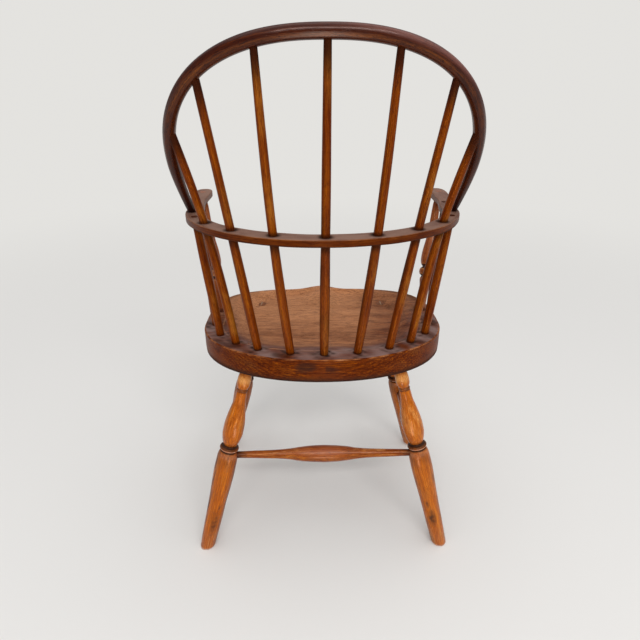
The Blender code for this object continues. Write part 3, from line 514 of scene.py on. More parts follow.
def near(places, spots, reach):
    """1 at any of the spots, easing to 0 at reach from all of them."""
    gap = np.min([np.linalg.norm(places - spot, axis=-1) for spot in spots], axis=0)
    return fade(0.35 * reach, reach, gap)


print("places of sockets:", len(FEET))

# %% [markdown]
# An edge cut by hand is never quite even. The upper round swells and thins along the outline, the adze
# leaves slow waves on the top, and the upright face is a little hollow from the drawknife.

# %% Carve the seat
TOP_ROUND, TOP_UNEVEN, LOW_ROUND = 0.0026, 0.0009, 0.0055
ADZE, EDGE_SINK, HOLLOW = 0.00022, 0.00033, 0.0006
STOCK_BACK, STOCK_DEEP = 0.045, 0.13


def seat_outline(angle, inset):
    """The outline drawn in by an inset, with the pommel pushed forward."""
    reach = seat_edge(angle) - inset
    x, y = reach * np.sin(angle), reach * np.cos(angle)
    push = POMMEL * bell(x, 0.0, POMMEL_SPREAD) * np.minimum(-y / SEAT_FRONT, 1.0)
    return x, np.where(y < 0, y - push, y)


def carve_seat(around=300):
    """Rings of the outline: shares of it on the top, two quarter rounds at the edge, shares below."""
    angle = full_turn(around)
    soft = TOP_ROUND + TOP_UNEVEN * waver(3 * np.cos(angle), 3 * np.sin(angle), 3)
    share = np.concatenate([[0.0, 0.02, 0.05], np.linspace(0.09, 0.74, 42),
                            np.linspace(0.74, 0.92, 70)[1:], np.linspace(0.92, 1.0, 8)[1:]])[:, None]
    x, y = (line * share for line in seat_outline(angle, soft))
    top = seat_top(x, y) + ADZE * (waver(22 * x, 22 * y, 4) - 1.5)
    upper = np.radians(np.linspace(12, 90, 7))[:, None]
    ux, uy = seat_outline(angle, INSET + soft * (1 - np.sin(upper)))
    uz = seat_top(ux, uy) - soft * (1 - np.cos(upper)) - EDGE_SINK
    down = np.linspace(0, 1, 12)[1:-1, None]
    belly = HOLLOW * (1 - np.sin(math.pi * down)) * (1 + 0.5 * waver(4 * np.cos(angle), down * 2, 5))
    sx, sy = seat_outline(angle, INSET + np.abs(belly))
    sz = np.broadcast_to(uz[-1:] + (SEAT_UNDER + LOW_ROUND - uz[-1:]) * down, sx.shape)
    lower = np.radians(np.linspace(0, 90, 8))[:, None]
    lx, ly = seat_outline(angle, HOLLOW + LOW_ROUND * (1 - np.cos(lower)))
    lz = np.broadcast_to(SEAT_UNDER + LOW_ROUND * (1 - np.sin(lower)), lx.shape)
    inwards = np.linspace(0.93, 0.0, 12)[:, None]
    fx, fy = lx[-1:] * inwards, ly[-1:] * inwards
    fz = np.full(fx.shape, SEAT_UNDER) + 0.0002 * ease(0.0, 0.02, 0.2 - np.hypot(fx, fy))
    place = np.stack([np.concatenate(parts) for parts in
                      ((x, ux, sx, lx, fx), (y, uy, sy, ly, fy), (top, uz, sz, lz, fz))], -1)
    stock = np.stack([place[..., 1] + STOCK_BACK, place[..., 2] - SEAT_TOP + STOCK_DEEP, place[..., 0]], -1)
    return np.concatenate([place, stock], -1), len(share)


seat_rows, top_rows = carve_seat()
print("seat grid:", seat_rows.shape, "rows on the top:", top_rows)

# %% [markdown]
# Dirt gathers where no one sits: round the feet of the spindles, on the strip behind them and in the
# front corners. The lower edge and the underside are darkened as painted shade. Each place is a pattern
# over the grid, and the strongest one counts.

# %% Where the seat is dirty, and painted shade on its edge
px, py, pz = (seat_rows[..., k] for k in range(3))
facing_up = np.zeros(px.shape)
facing_up[:top_rows] = 1.0
on_edge = 1 - facing_up
seat_places, inside = seat_rows[..., :3], seat_inside(px, py)
gallery = ease(-0.09, 0.02, py)
deck = fade(0.030, 0.075, inside) * facing_up
low_edge = fade(SEAT_UNDER + 0.002, SEAT_UNDER + 0.020, pz) * on_edge
smudge = 0.46 + 0.30 * waver(px * 70, py * 70, 9)
blotches = ease(-0.5, 1.5, waver(px * 22, py * 34, 10))
cloudy = ease(-0.1, 1.4, waver(np.arctan2(px, -py) * 2.2, pz * 22, 13)) * on_edge
to_side = ease(0.02, 0.16, np.abs(px))
corner = ease(0.10, 0.16, np.abs(px)) * ease(0.05, 0.12, -py) * bell(inside, 0.010, 0.012)
STAINS = [np.array([x, y, SEAT_TOP - 0.010])
          for x, y in ((-0.100, -0.133), (-0.134, -0.120), (-0.152, -0.098))]
behind = most(smudge * near(seat_places, FEET, 0.036), near(seat_places, FEET, 0.013),
              0.68 * deck * gallery * blotches)
# Along the lower edge and on the underside the darkening is painted shade.
seat_dirt_and_shade = most(behind * facing_up, 0.55 * near(seat_places, STAINS, 0.017) * facing_up,
                 0.60 * corner * facing_up, (0.74 - 0.52 * to_side) * cloudy, 0.92 * low_edge,
                 (pz < SEAT_UNDER + 0.002) * 0.6)
print("mean dirt on the seat:", round(float(seat_dirt_and_shade.mean()), 3))

# %% [markdown]
# Sitting keeps the hollow bright. The front is painted brighter still, as a sheen, and the right of the
# top is painted darker, as shade. Sleeves polish the edge and the ridge where the dish starts, and
# both also carry a painted highlight line. Dust lies on the strip behind the spindles, where no cloth
# reaches, and it and a faint haze over the whole top are partly a painted reflection.

# %% Where the seat is rubbed and dusty, with painted highlights, sheen and shade
# The rubbed arrises of the edge and the rim also carry a painted highlight line.
arris = most(bell(pz, SEAT_TOP - 0.0012, 0.0012) * on_edge, facing_up * bell(inside, 0.0030, 0.0014))
arris = arris * (0.75 + 0.45 * waver(px * 60, py * 60, 15))
# Painted shade darkens the right of the top, and a painted sheen brightens the front.
shady_right = ease(0.05, 0.15, -px) * facing_up
sat_on_and_sheen = facing_up * (1 - deck * gallery) * (0.70 + 0.30 * ease(-0.04, 0.09, -py)) * (1 - 0.42 * shady_right)
# The rubbed ridge where the dish starts also carries a painted highlight line.
ridge_line = bell(inside - RIM, 0.0028, 0.0022) * gallery * facing_up
scuffed = ease(-0.4, 1.3, waver(np.arctan2(px, -py) * 3.0, pz * 30, 12)) * on_edge
seat_rub_and_highlight = most(sat_on_and_sheen, 0.62 * arris, ridge_line, 0.10 * scuffed)
# Dust and haze on the top, partly a painted reflection.
hazy = 0.62 + 0.42 * waver(px * 34, py * 34, 14)
seat_dust_and_sheen = facing_up * (0.10 + hazy * deck * gallery)
skin("seat_carved", seat_rows, tones(seat_dirt_and_shade, seat_rub_and_highlight, seat_dust_and_sheen), "seat", seat_wood)

# %% [markdown]
# ## Rods that bend
#
# Spindles and the bow are rods along a path. At each point of the path we need two directions across
# it. For a path that never runs along a chosen side direction, these are that direction with its part
# along the path taken out, and the cross product of both. A shaved rod isn't quite round: the
# spokeshave leaves long flats, which show as straight highlights.

# %% Paths and rings round them
def unit(vectors):
    """Vectors drawn to length 1."""
    return vectors / np.linalg.norm(vectors, axis=-1, keepdims=True)


def run_along(points):
    """The length of the path up to each of its points."""
    return np.concatenate([[0.0], np.cumsum(np.linalg.norm(np.diff(points, axis=0), axis=1))])


def even(points, spacing):
    """The same path with its points at an even spacing along it."""
    run = run_along(points)
    at = np.linspace(0.0, run[-1], max(int(run[-1] / spacing), 2) + 1)
    return np.stack([np.interp(at, run, points[:, k]) for k in range(3)], -1)


def rings(points, across, third, size, turn, run, offset):
    """place = point + r (cos t across + sin t third), and stock = (r cos t, r sin t, run) + offset."""
    cosine, sine = size * np.cos(turn), size * np.sin(turn)
    place = points[:, None] + cosine[..., None] * across + sine[..., None] * third
    stock = np.stack([cosine, sine, np.broadcast_to(run, size.shape)], -1) + np.array(offset)
    return np.concatenate([place, stock], -1)


print("a path of 3 points, evened, has", len(even(np.eye(3), 0.1)))

# %% Shaved rods
def shaved(turn, flats, depth):
    """A round with soft flats: 1 less depth times the distance from the nearest arris, 0 to 1."""
    saw = np.abs((turn * flats / math.tau) % 1.0 - 0.5) * 2
    return 1.0 - depth * (1.0 - saw ** 2)


def rod(points, radius, side, around, flats, depth, seed):
    """Rings round a path. The flats wind slowly, and the radius wavers by about a hundredth."""
    along = unit(np.gradient(points, axis=0))
    across = unit(side - along * (along @ side)[:, None])
    run, turn = run_along(points)[:, None], full_turn(around)
    twist = 0.25 * waver(run * 1.3, seed * 0.7, seed + 11)
    size = np.asarray(radius)[:, None] * shaved(turn + twist + seed, flats, depth)
    size = size * (1 + 0.012 * waver(run * 9, np.cos(turn), seed + 5))
    offset = (0.035 + 0.013 * (seed % 7), 0.02 * (seed % 3), seed)
    return rings(points, across[:, None], np.cross(along, across)[:, None], size, turn, run, offset)


def cut_level(rows, level, keep_below=True):
    """Slide what passes a level back along the rod until it lies on the level."""
    first, second = (-1, -2) if keep_below else (0, 1)
    heading = unit(rows[first, :, :3].mean(0) - rows[second, :, :3].mean(0))
    over = rows[..., 2] - level
    over = np.maximum(over, 0.0) if keep_below else np.minimum(over, 0.0)
    rows = rows.copy()
    rows[..., :3] -= (over / heading[2])[..., None] * heading
    return rows


print("a flat takes off, %:", round(100 * (1 - float(shaved(math.pi / 9, 9, 0.03))), 1))

# %% [markdown]
# ## The arm rail
#
# The rail is a flat strip, sawn or shaved, steamed and bent round a form. It widens in front into two
# paddles that carry the hands. Its plan is worked out first: a middle line, and the two edges beside
# it. The skin then takes that plan at each level of the edge's rounding, which is how a spokeshave
# makes the edge. The top has gathered dust for a century, and its pale top and paddles are partly a
# painted reflection. Hands have rubbed the arrises, which also carry a painted highlight line.

# %% Rail plan
ARM_SPREAD, SPREAD_END, FLARE, FLARE_START, NOSE_POWER = 0.011, 0.085, 0.017, 0.020, 2.7
BREADTH_BACK, BREADTH_SIDE = 0.035, 0.029


def arm_sides(forward):
    """Inner and outer x of the arm: both spread, and the outer one flares more."""
    inner = RAIL_HALF - BREADTH_SIDE / 2 + ARM_SPREAD * ease(0.0, SPREAD_END, forward)
    return inner, RAIL_HALF + BREADTH_SIDE / 2 + FLARE * ease(FLARE_START, ARM_REACH - NOSE, forward)


def rail_arm(forward):
    """Middle of the arm at a distance forward."""
    return np.array([float(sum(arm_sides(forward)) / 2), -forward])


def rail_back(degrees):
    """Middle line of the back, an ellipse."""
    turn = math.radians(degrees)
    return np.array([RAIL_HALF * math.sin(turn), RAIL_BACK * math.cos(turn)])


def rail_plan():
    """Outer edge, inner edge and middle from the +X nose to the middle of the back."""
    tip = np.sin(np.linspace(math.pi / 2, 0, 26))
    forward = np.concatenate([ARM_REACH - NOSE + NOSE * tip, np.linspace(ARM_REACH - NOSE, 0.0, 40)[1:]])
    held = np.minimum(forward, ARM_REACH - NOSE)
    near_x, far_x = arm_sides(held)
    shrink = (1 - np.clip((forward - held) / NOSE, 0, 1) ** NOSE_POWER) ** (1 / NOSE_POWER)
    centre, half = (near_x + far_x) / 2, (far_x - near_x) / 2 * shrink
    arm = [np.stack([centre + sign * half, -forward], -1) for sign in (1, -1)]
    spine = np.stack([centre, -np.minimum(forward, ARM_REACH - 0.020)], -1)
    turn = np.radians(np.linspace(90, 0, 90))[1:]
    back = np.stack([RAIL_HALF * np.sin(turn), RAIL_BACK * np.cos(turn)], -1)
    slope = unit(np.stack([RAIL_BACK * np.sin(turn), RAIL_HALF * np.cos(turn)], -1))
    breadth = (BREADTH_SIDE + (BREADTH_BACK - BREADTH_SIDE) * np.cos(turn) ** 2)[:, None]
    outer = np.concatenate([arm[0], back + slope * breadth / 2])
    inner = np.concatenate([arm[1], back - slope * breadth / 2])
    return outer, inner, np.concatenate([spine, back])


def mirrored(line):
    """A half plan carried on over the middle of the back to the other side."""
    return np.concatenate([line, line[-2::-1] * np.array([-1.0, 1.0])])


outer, inner, spine = (mirrored(line) for line in rail_plan())
plan = np.concatenate([outer, inner[-2:0:-1]])
middle_line = np.concatenate([spine, spine[-2:0:-1]])
step = np.roll(plan, -1, 0) - np.roll(plan, 1, 0)
outward = unit(np.stack([step[:, 1], -step[:, 0]], -1))
area = 0.5 * float((plan[:, 0] * np.roll(plan[:, 1], -1) - np.roll(plan[:, 0], -1) * plan[:, 1]).sum())
outward *= math.copysign(1.0, area)
print("rail plan points:", len(plan), "area cm2:", round(abs(area) * 1e4, 1))

# %% Shave the rail
RAIL_SOFT, RAIL_UNEVEN, RAIL_HOLLOW = 0.0019, 0.0007, 0.00025


def shave_rail():
    """Rings of the plan: shares from the middle line, a quarter round, the face, and back below."""
    run = np.cumsum(np.linalg.norm(np.diff(plan, axis=0, append=plan[:1]), axis=1))
    soft = RAIL_SOFT + RAIL_UNEVEN * waver(run * 14, 0.0, 21)
    hollow = RAIL_HOLLOW * (1 + waver(run * 16, 1.0, 22))
    share = np.array([0.0, 0.25, 0.5, 0.72, 0.88, 1.0])[:, None, None]
    edge = plan - outward * (soft + hollow)[:, None]
    face = middle_line + (edge - middle_line) * share
    top = np.concatenate([face, np.full(face.shape[:2] + (1,), RAIL_TOP - INSET)], -1)
    turn = np.radians(np.linspace(15, 90, 6))[:, None]
    inset = hollow + soft * (1 - np.sin(turn))
    upper = np.concatenate([plan - outward * inset[..., None],
                            (RAIL_TOP - INSET - soft * (1 - np.cos(turn)))[..., None]], -1)
    lower, under = upper[::-1].copy(), top[::-1].copy()
    lower[..., 2] = RAIL_TOP + RAIL_UNDER - lower[..., 2]
    under[..., 2] = RAIL_UNDER + INSET
    between = np.linspace(0, 1, 7)[1:-1, None, None]
    face_rows = upper[-1:] * (1 - between) + lower[:1] * between
    return np.concatenate([top, upper, face_rows, lower, under]), run


rail_place, rail_run = shave_rail()
column = np.arange(len(plan))
outside = np.where(column < len(outer), 1.0, -1.0)
station = np.where(column < len(outer), column, 2 * len(outer) - 2 - column)
across = ((rail_place[..., :2] - middle_line) * outward).sum(-1) * outside
rail_stock = np.stack([across + 0.07, rail_place[..., 2] - RAIL_UNDER,
                       np.broadcast_to(rail_run[station], across.shape)], -1)
print("rail grid:", rail_place.shape, "length of its outline, m:", round(float(rail_run[-1]), 3))

# %% The rail's finish and painted light
BOW_FOOT_Y, BOW_OUTWARD = 0.022, 0.002
bow_foot_x = RAIL_HALF * math.sqrt(1 - (BOW_FOOT_Y / RAIL_BACK) ** 2) + BOW_OUTWARD
HOLES = [np.append(rail_back(side * row[1]), RAIL_TOP) for side, _ in SIDES for row in LONG]
HOLES += [np.array([side * bow_foot_x, BOW_FOOT_Y, RAIL_TOP]) for side, _ in SIDES]
level = rail_place[..., 2]
at_top = (level > RAIL_TOP - 0.0004).astype(float)
at_low = fade(RAIL_UNDER + 0.0005, RAIL_UNDER + 0.0045, level)
rail_arris = bell(level, RAIL_TOP - 0.0006, 0.0007) * (1 - at_top)
paddle = ease(0.03, 0.10, -rail_place[..., 1])
# Dust and painted reflection on the top and the paddles, and a painted highlight line on the rubbed arris.
rail_finish = tones(most(near(rail_place, HOLES, 0.018), 0.8 * at_low), 0.8 * rail_arris,
                    most(0.95 * at_top, 0.7 * paddle))
skin("arm_rail_shaved", np.concatenate([rail_place, rail_stock], -1), rail_finish, "arm_rail", rail_wood)

# %% [markdown]
# ## The bow
#
# The bow is a straight rod, steamed and bent into an arch that leans back. In its leaning plane it is a
# half superellipse over two legs that draw in to their feet. The legs thin to a tenon and pass through
# the rail. A superellipse is easy to write as powers of a cosine and a sine. Its points crowd
# together, so the path is spaced out evenly afterwards.

# %% The bow's path
BOW_HALF, SHOULDER, ARCH, BOW_POWER = RAIL_HALF + 0.005, 0.085, 0.2555, 2.4
BOW_R, FOOT_R, TENON_R, SWELL, STRAIGHT = 0.0096, 0.0076, 0.0064, 0.110, 0.014
BOW_NORMAL = np.array([0.0, math.cos(BOW_LEAN), -math.sin(BOW_LEAN)])
BOW_TOP = RAIL_TOP + (SHOULDER + ARCH) * math.cos(BOW_LEAN)


def bow_place(x, rise):
    """A point of the leaning plane: back by rise sin(lean) and up by rise cos(lean)."""
    x, rise = np.broadcast_arrays(np.asarray(x, float), np.asarray(rise, float))
    return np.stack([x, BOW_FOOT_Y + rise * math.sin(BOW_LEAN), RAIL_TOP + rise * math.cos(BOW_LEAN)], -1)


def bow_arch(turn):
    """A superellipse over the shoulders: x = a cos^(2/p), rise = s + b sin^(2/p)."""
    cosine, sine = np.cos(turn), np.sin(turn)
    x = BOW_HALF * np.sign(cosine) * np.abs(cosine) ** (2 / BOW_POWER)
    return bow_place(x, SHOULDER + ARCH * np.abs(sine) ** (2 / BOW_POWER))


def bow_leg(rise):
    """Below the shoulder: x = a - drawn (1 - rise / s)^2, and straight below the bend."""
    drawn = BOW_HALF - bow_foot_x
    bent = BOW_HALF - drawn * (1 - rise / SHOULDER) ** 2
    knee = BOW_HALF - drawn * (1 - STRAIGHT / SHOULDER) ** 2
    slope = 2 * drawn * (1 - STRAIGHT / SHOULDER) / SHOULDER
    return bow_place(np.where(rise < STRAIGHT, knee + slope * (rise - STRAIGHT), bent), rise)


leg_rises = np.linspace(-0.022, SHOULDER, 60)[:-1]
half_bow = np.concatenate([bow_leg(leg_rises), bow_arch(math.pi / 2 * np.linspace(0, 1, 400) ** 1.6)])
bow_line = even(np.concatenate([half_bow, half_bow[-2::-1] * np.array([-1.0, 1.0, 1.0])]), 0.0035)
print("length of the bow, m:", round(float(run_along(bow_line)[-1]), 3), "top:", round(BOW_TOP, 3))

# %% Bend the bow
rise = (bow_line[:, 2] - RAIL_TOP) / math.cos(BOW_LEAN)
from_foot = np.hypot(np.abs(bow_line[:, 0]) - bow_foot_x, np.maximum(rise - STRAIGHT, 0))
bow_radius = FOOT_R + (BOW_R - FOOT_R) * ease(0.0, SWELL, from_foot)
bow_radius = TENON_R + (bow_radius - TENON_R) * ease(0.001, STRAIGHT, rise)
bow_rows = rod(bow_line, bow_radius, BOW_NORMAL, around=40, flats=8, depth=0.03, seed=3)
for _ in SIDES:  # one foot, and with the rows turned round, the other
    bow_rows = cut_level(bow_rows, RAIL_UNDER + 0.0002, keep_below=False)[::-1]
bow_rows = close_ends(bow_rows)
from_middle = bow_rows[..., :3] - bow_rows[..., :3].mean(1, keepdims=True)
upwards = from_middle[..., 2] / BOW_R
bow_dirt = 0.8 * fade(RAIL_TOP + 0.004, RAIL_TOP + 0.070, bow_rows[..., 2])
high_up = ease(RAIL_TOP + 0.06, RAIL_TOP + 0.20, bow_rows[..., 2])
to_right = ease(-0.02, 0.12, -bow_rows[..., 0])
bow_rub = 0.50 * (bell(upwards, -0.42, 0.26) * (from_middle[..., 1] > 0)) * high_up
# Dust on the upper face, and towards the right a painted sheen.
skyward = ease(0.30 - 0.55 * to_right, 1.0 - 0.45 * to_right, upwards) * high_up
bow_dust_and_sheen = skyward * (0.03 + 0.52 * to_right)
skin("bow_bent", bow_rows, tones(bow_dirt, bow_rub, bow_dust_and_sheen), "back_bow", bow_wood)

# %% [markdown]
# ## The spindles
#
# Seven long spindles start at the seat, pass through the rail and end in the bow. They flex a little
# where the rail holds them. Four short ones stop flush with the rail's top. Each is shaved from riven
# stock: fattest between seat and rail, and thin at the top. The line of a long one is two cubic
# curves that share their direction at the rail.

# %% The line and the thickness of a spindle
SPINDLE_SEAT, SPINDLE_BELLY, SPINDLE_RAIL, SPINDLE_TIP, TAPER_POWER = 0.0076, 0.0084, 0.0071, 0.0049, 1.6


def flexed(low, middle, high, steps=60):
    """Two Hermite curves with one direction at the middle point and free outer ends."""
    lower, upper = middle - low, high - middle
    way = (unit(lower) + unit(upper)) / 2
    t = np.linspace(0, 1, steps)[:, None]
    curves = []
    for start, chord, leading in ((low, lower, True), (middle, upper, False)):
        firm = way * np.linalg.norm(chord)
        free = chord * 1.5 - firm * 0.5
        first, last = (free, firm) if leading else (firm, free)
        curves.append(start + chord * (t * t * (3 - 2 * t)) + first * (t * (1 - t) ** 2)
                      - last * (t * t * (1 - t)))
    return np.concatenate([curves[0], curves[1][1:]])


def spindle_radius(height):
    """A belly between seat and rail, and above the rail a taper that grows as share^1.6."""
    share = np.clip((height - SEAT_TOP) / (RAIL_MIDDLE - SEAT_TOP), 0.0, 1.0)
    straight = SPINDLE_SEAT + (SPINDLE_RAIL - SPINDLE_SEAT) * share
    belly = (SPINDLE_BELLY - (SPINDLE_SEAT + SPINDLE_RAIL) / 2) * np.sin(math.pi * share)
    above = np.clip((height - RAIL_MIDDLE) / (BOW_TOP - RAIL_MIDDLE), 0.0, 1.0)
    return straight + belly - (SPINDLE_RAIL - SPINDLE_TIP) * above ** TAPER_POWER


HEIGHTS = np.array([SEAT_TOP, RAIL_MIDDLE, BOW_TOP])
print("radius at seat, rail and bow, mm:", (spindle_radius(HEIGHTS) * 1000).round(2))

# %% [markdown]
# Old wax darkens a spindle at the seat, just above the rail and under the bow. Below the rail the
# darkening that fades out 30 mm down is painted shadow of the rail, and both flanks get painted shade,
# one darker than the other. No two have aged alike, so `STAIN` gives each its own depth.

# %% The finish of a spindle, with painted shade
STAIN = (0.00, 0.12, 0.06, 0.36, 0.24, 0.22, 0.12, 0.0, 0.05, 0.05, 0.0)


def spindle_tones(rows, foot, tip, seed):
    """Dirt at the seat, above the rail and under the bow, painted shadow below the rail, painted shade on the
    flanks, and rubbing.
    """
    z = rows[..., 2]
    sideways = rows[..., 0] - rows[..., 0].mean(1, keepdims=True)
    # Painted shade on both flanks, stronger on one.
    flank = most(0.42 * ease(0.0030, 0.0075, sideways) * (0.8 + 0.4 * waver(z * 9, seed, 33)),
                 0.30 * ease(0.0040, 0.0075, -sideways))
    dirt_and_shade = most(0.9 * fade(foot[2] + 0.0005, foot[2] + 0.008, z),
                0.85 * fade(0.001, 0.011, z - RAIL_TOP) * (z > RAIL_MIDDLE),
                # Painted shadow of the rail, fading out 30 mm below it.
                0.75 * fade(0.004, 0.030, RAIL_UNDER - z) * (z < RAIL_MIDDLE),
                flank + STAIN[seed - 1] * (0.85 + 0.3 * waver(z * 14, seed, 35)))
    if tip is not None:
        dirt_and_shade = most(dirt_and_shade, 0.95 * fade(0.014, 0.085, np.linalg.norm(rows[..., :3] - tip, axis=-1)))
    rub = 0.45 * ease(0.05, 0.9, waver(z * 7, foot[0] * 40, 31)) + 0.22 * (tip is None)
    return tones(dirt_and_shade, rub * fade(0.0, 0.006, sideways), 0.0)


print("darkest spindle:", 1 + STAIN.index(max(STAIN)))

# %% Shave the spindles
IN_SOCKET = 0.026
X_AXIS, Y_AXIS, Z_AXIS = np.eye(3)


def shave_spindle(name, line, foot, seed, tip=None):
    """A spindle along its line from its socket in the seat. One without a tip ends flush in the rail."""
    below = line[:1] - unit(line[1:2] - line[:1]) * IN_SOCKET
    line = even(np.concatenate([below, line]), 0.004)
    flats = 7 + seed % 3
    rows = rod(line, spindle_radius(line[:, 2]), X_AXIS, around=24, flats=flats, depth=0.035, seed=seed)
    if tip is None:
        rows = cut_level(rows, RAIL_TOP + INSET)
    rows = close_ends(rows)
    skin(name + "_shaved", rows, spindle_tones(rows, foot, tip, seed), name, spindle_wood)


number = 1
for side, _ in SIDES:
    for at_seat, at_rail, at_bow in (LONG[:0:-1] if side > 0 else LONG):
        foot, hole = seat_socket(at_seat, side), rail_back(side * at_rail)
        tip = bow_arch(np.array(math.radians(at_bow))) * np.array([side, 1, 1])
        tip[0] = 0.0 if at_bow == 90.0 else tip[0]
        line = flexed(foot, np.append(hole, RAIL_MIDDLE), tip)
        shave_spindle(f"back_spindle_{number}", line, foot, number, tip)
        number += 1

for side, word in SIDES:
    for label, degrees in SHORT:
        hole = rail_back(SHORT_REAR_RAIL) if label == "rear" else rail_arm(SHORT_FRONT_FORWARD)
        foot, top = seat_socket(degrees, side), np.array([side * hole[0], hole[1], RAIL_MIDDLE])
        ends = np.stack([foot, top + (top - foot) * 0.06])
        shave_spindle(f"arm_spindle_{word}_{label}", ends, foot, number)
        number += 1

# %% [markdown]
# ## Turned pieces
#
# Legs, posts and stretchers come from the lathe. A turned piece is a line of radii along an axis. The
# radii go through the measured ones, and then the point of the skew chisel adds fine grooves. Wood
# shrinks across its rings, so an old turning is slightly oval. Dirt fills whatever lies lower than
# its neighbours, and that follows from the radii. Rubbing follows them on the posts only: on legs and
# stretchers it is laid where this chair is rubbed, and stains and knots where this chair has them.
# Painted light is laid on them too: shade on flanks, undersides and under the ring, shadow by the
# joints, and highlights and sheen on vases, rings, shoulders, tops and posts.

# %% The lathe
def lathe(start, end, heights, radii, side, around, seed):
    """Rings about the axis from start to end, each slightly oval: r (1 + 0.01 cos 2t)."""
    along = unit(end - start)
    across = unit(side - along * (along @ side))
    turn = full_turn(around)
    size = radii[:, None] * (1 + 0.010 * np.cos(2 * turn + seed))
    size = size + 0.00012 * waver(heights[:, None] * 18, np.cos(turn - seed), seed + 40)
    offset = (0.030 + 0.009 * (seed % 5), 0.012 * (seed % 4), seed)
    points = start + heights[:, None] * along
    return rings(points, across, np.cross(along, across), size, turn, heights[:, None], offset), along


def proud_and_low(heights, radii, window=0.005):
    """How far each radius stands over the mean, and under the largest, within a window, in mm."""
    gap = np.abs(heights[:, None] - heights) < window
    mean = (gap * radii).sum(1) / gap.sum(1)
    largest = np.where(gap, radii, 0.0).max(1)
    return (radii - mean) * 1000, (largest - radii) * 1000


def grooves(heights, places, depth, width):
    """The sum of narrow bells that the skew chisel cuts."""
    return depth * sum(bell(heights, place, width) for place in places)


print("two grooves, mm deep at the first:", float(grooves(0.0, (0.0, 0.01), 0.6, 0.001)))

# %% [markdown]
# A leg has a cap under the seat, a vase, a ring with a bead below it, and a long taper to the floor.
# The numbers are drops below the seat's underside and the radii there, as the solids were drawn.

# %% The line of a leg
LEG_SHAPE = np.array([
    (0.0, 0.0108), (0.0157, 0.0120), (0.0292, 0.0134), (0.0395, 0.0128), (0.0480, 0.0105), (0.0507, 0.0112),
    (0.0533, 0.0103), (0.0564, 0.0107), (0.0755, 0.0121), (0.0885, 0.0144), (0.1026, 0.0170),
    (0.1167, 0.0192), (0.1308, 0.0204), (0.1439, 0.0205), (0.1580, 0.0184), (0.1658, 0.0162),
    (0.1720, 0.0136), (0.1749, 0.0132), (0.1769, 0.0180), (0.1799, 0.0192), (0.1828, 0.0180),
    (0.1852, 0.0150), (0.1885, 0.0177), (0.1940, 0.0197), (0.2010, 0.0207), (0.2260, 0.0213),
    (0.2650, 0.0201), (0.3000, 0.0184), (0.3660, 0.0168)])
LEG_FOOT_R, LEG_TENON_R, LEG_MEAN_R, TURNED_DOWN_TO = 0.0150, 0.0094, 0.019, 0.206
CAP_GROOVES, RING_GROOVES = (0.0480, 0.0533), (0.1745, 0.1853)


def leg_line(length, under):
    """Drops from the tenon's end to below the floor, dense where it is turned, and the radii there."""
    shape = np.concatenate([
        [(under - length - 0.02, LEG_TENON_R), (under - length, LEG_TENON_R)], LEG_SHAPE,
        [(under - 0.006, LEG_FOOT_R), (under + 0.02, LEG_FOOT_R - 0.0010)]])
    drops = np.concatenate([
        np.linspace(under - length - 0.012, 0.0, 10)[:-1], np.arange(0.0, TURNED_DOWN_TO, 0.0008),
        np.linspace(TURNED_DOWN_TO, under - 0.012, 70), np.linspace(under - 0.011, under + 0.012, 22)])
    radii = through(shape[:, 0], shape[:, 1], drops)
    radii = radii - grooves(drops, CAP_GROOVES, 0.0006, 0.0006) - grooves(drops, RING_GROOVES, 0.0006, 0.0010)
    return drops, radii


print("widest radius of a leg, mm:", round(float(LEG_SHAPE[:, 1].max()) * 1000, 1))

# %% [markdown]
# The tenon is pared flush with the dished seat, and the sole is sawn level with the floor. So a point
# that passes either of them slides back along the leg's own slant. Long use has worn the sole's edge.

# %% Fit a leg to the seat and the floor
def fit_leg(rows, foot, along, seed):
    """Slide what passes the seat or the floor back along the axis, and draw in the sole's edge."""
    level = seat_top(rows[..., 0], rows[..., 1]) + ADZE
    over = np.maximum(rows[..., 2] - level, 0.0)
    rows[..., :3] -= (over / along[2])[..., None] * along
    sunk = np.minimum(rows[..., 2] / along[2], 0.0)
    rows[..., :3] -= sunk[..., None] * along
    chipped = 0.11 + 0.05 * waver(rows[..., 0] * 90, rows[..., 1] * 90, seed)
    worn = fade(0.0, 0.0035, rows[..., 2]) * np.clip(chipped, 0.0, 0.2)
    axis_place = foot + (rows[..., 2] / along[2])[..., None] * along
    flat = rows[..., :3] - axis_place
    flat[..., 2] = 0.0
    rows[..., :3] -= flat * worn[..., None]
    rows[..., 2] = np.maximum(rows[..., 2], 0.0)
    return np.abs(rows[..., 0] - axis_place[..., 0])


def knot(rows, drops, drop, turn, length, breadth):
    """A dark eye in the wood: exp(-d^3), where d is the distance in lengths and breadths."""
    off = (full_turn(rows.shape[1]) - turn + math.pi) % math.tau - math.pi
    across = off * LEG_MEAN_R / breadth
    return np.exp(-((((drops[:, None] - drop) / length) ** 2 + across ** 2) ** 1.5))


print("a knot at its heart:", float(knot(np.zeros((1, 4, 6)), np.zeros(1), 0.0, 0.0, 1.0, 1.0)[0, 0]))

# %% [markdown]
# The left and the right leg each have their own row of marks: how far the vase is rubbed and lit by a
# painted highlight, a faint painted light all over, how dark the painted shade on the flanks and the red
# stain below the ring are, and a knot's drop, angle, length and breadth. The right leg is painted
# lighter than the left: more highlight on the vase, the faint light, and less shade on its flanks.

# %% The finish of a leg, with painted light
LEG_MARKS = {1: (0.42, 0.0, 1.0, 0.30, (0.350, 0.14, 0.042, 0.0092)),
             -1: (0.60, 0.16, 0.75, 0.12, (0.347, -0.20, 0.024, 0.0096))}


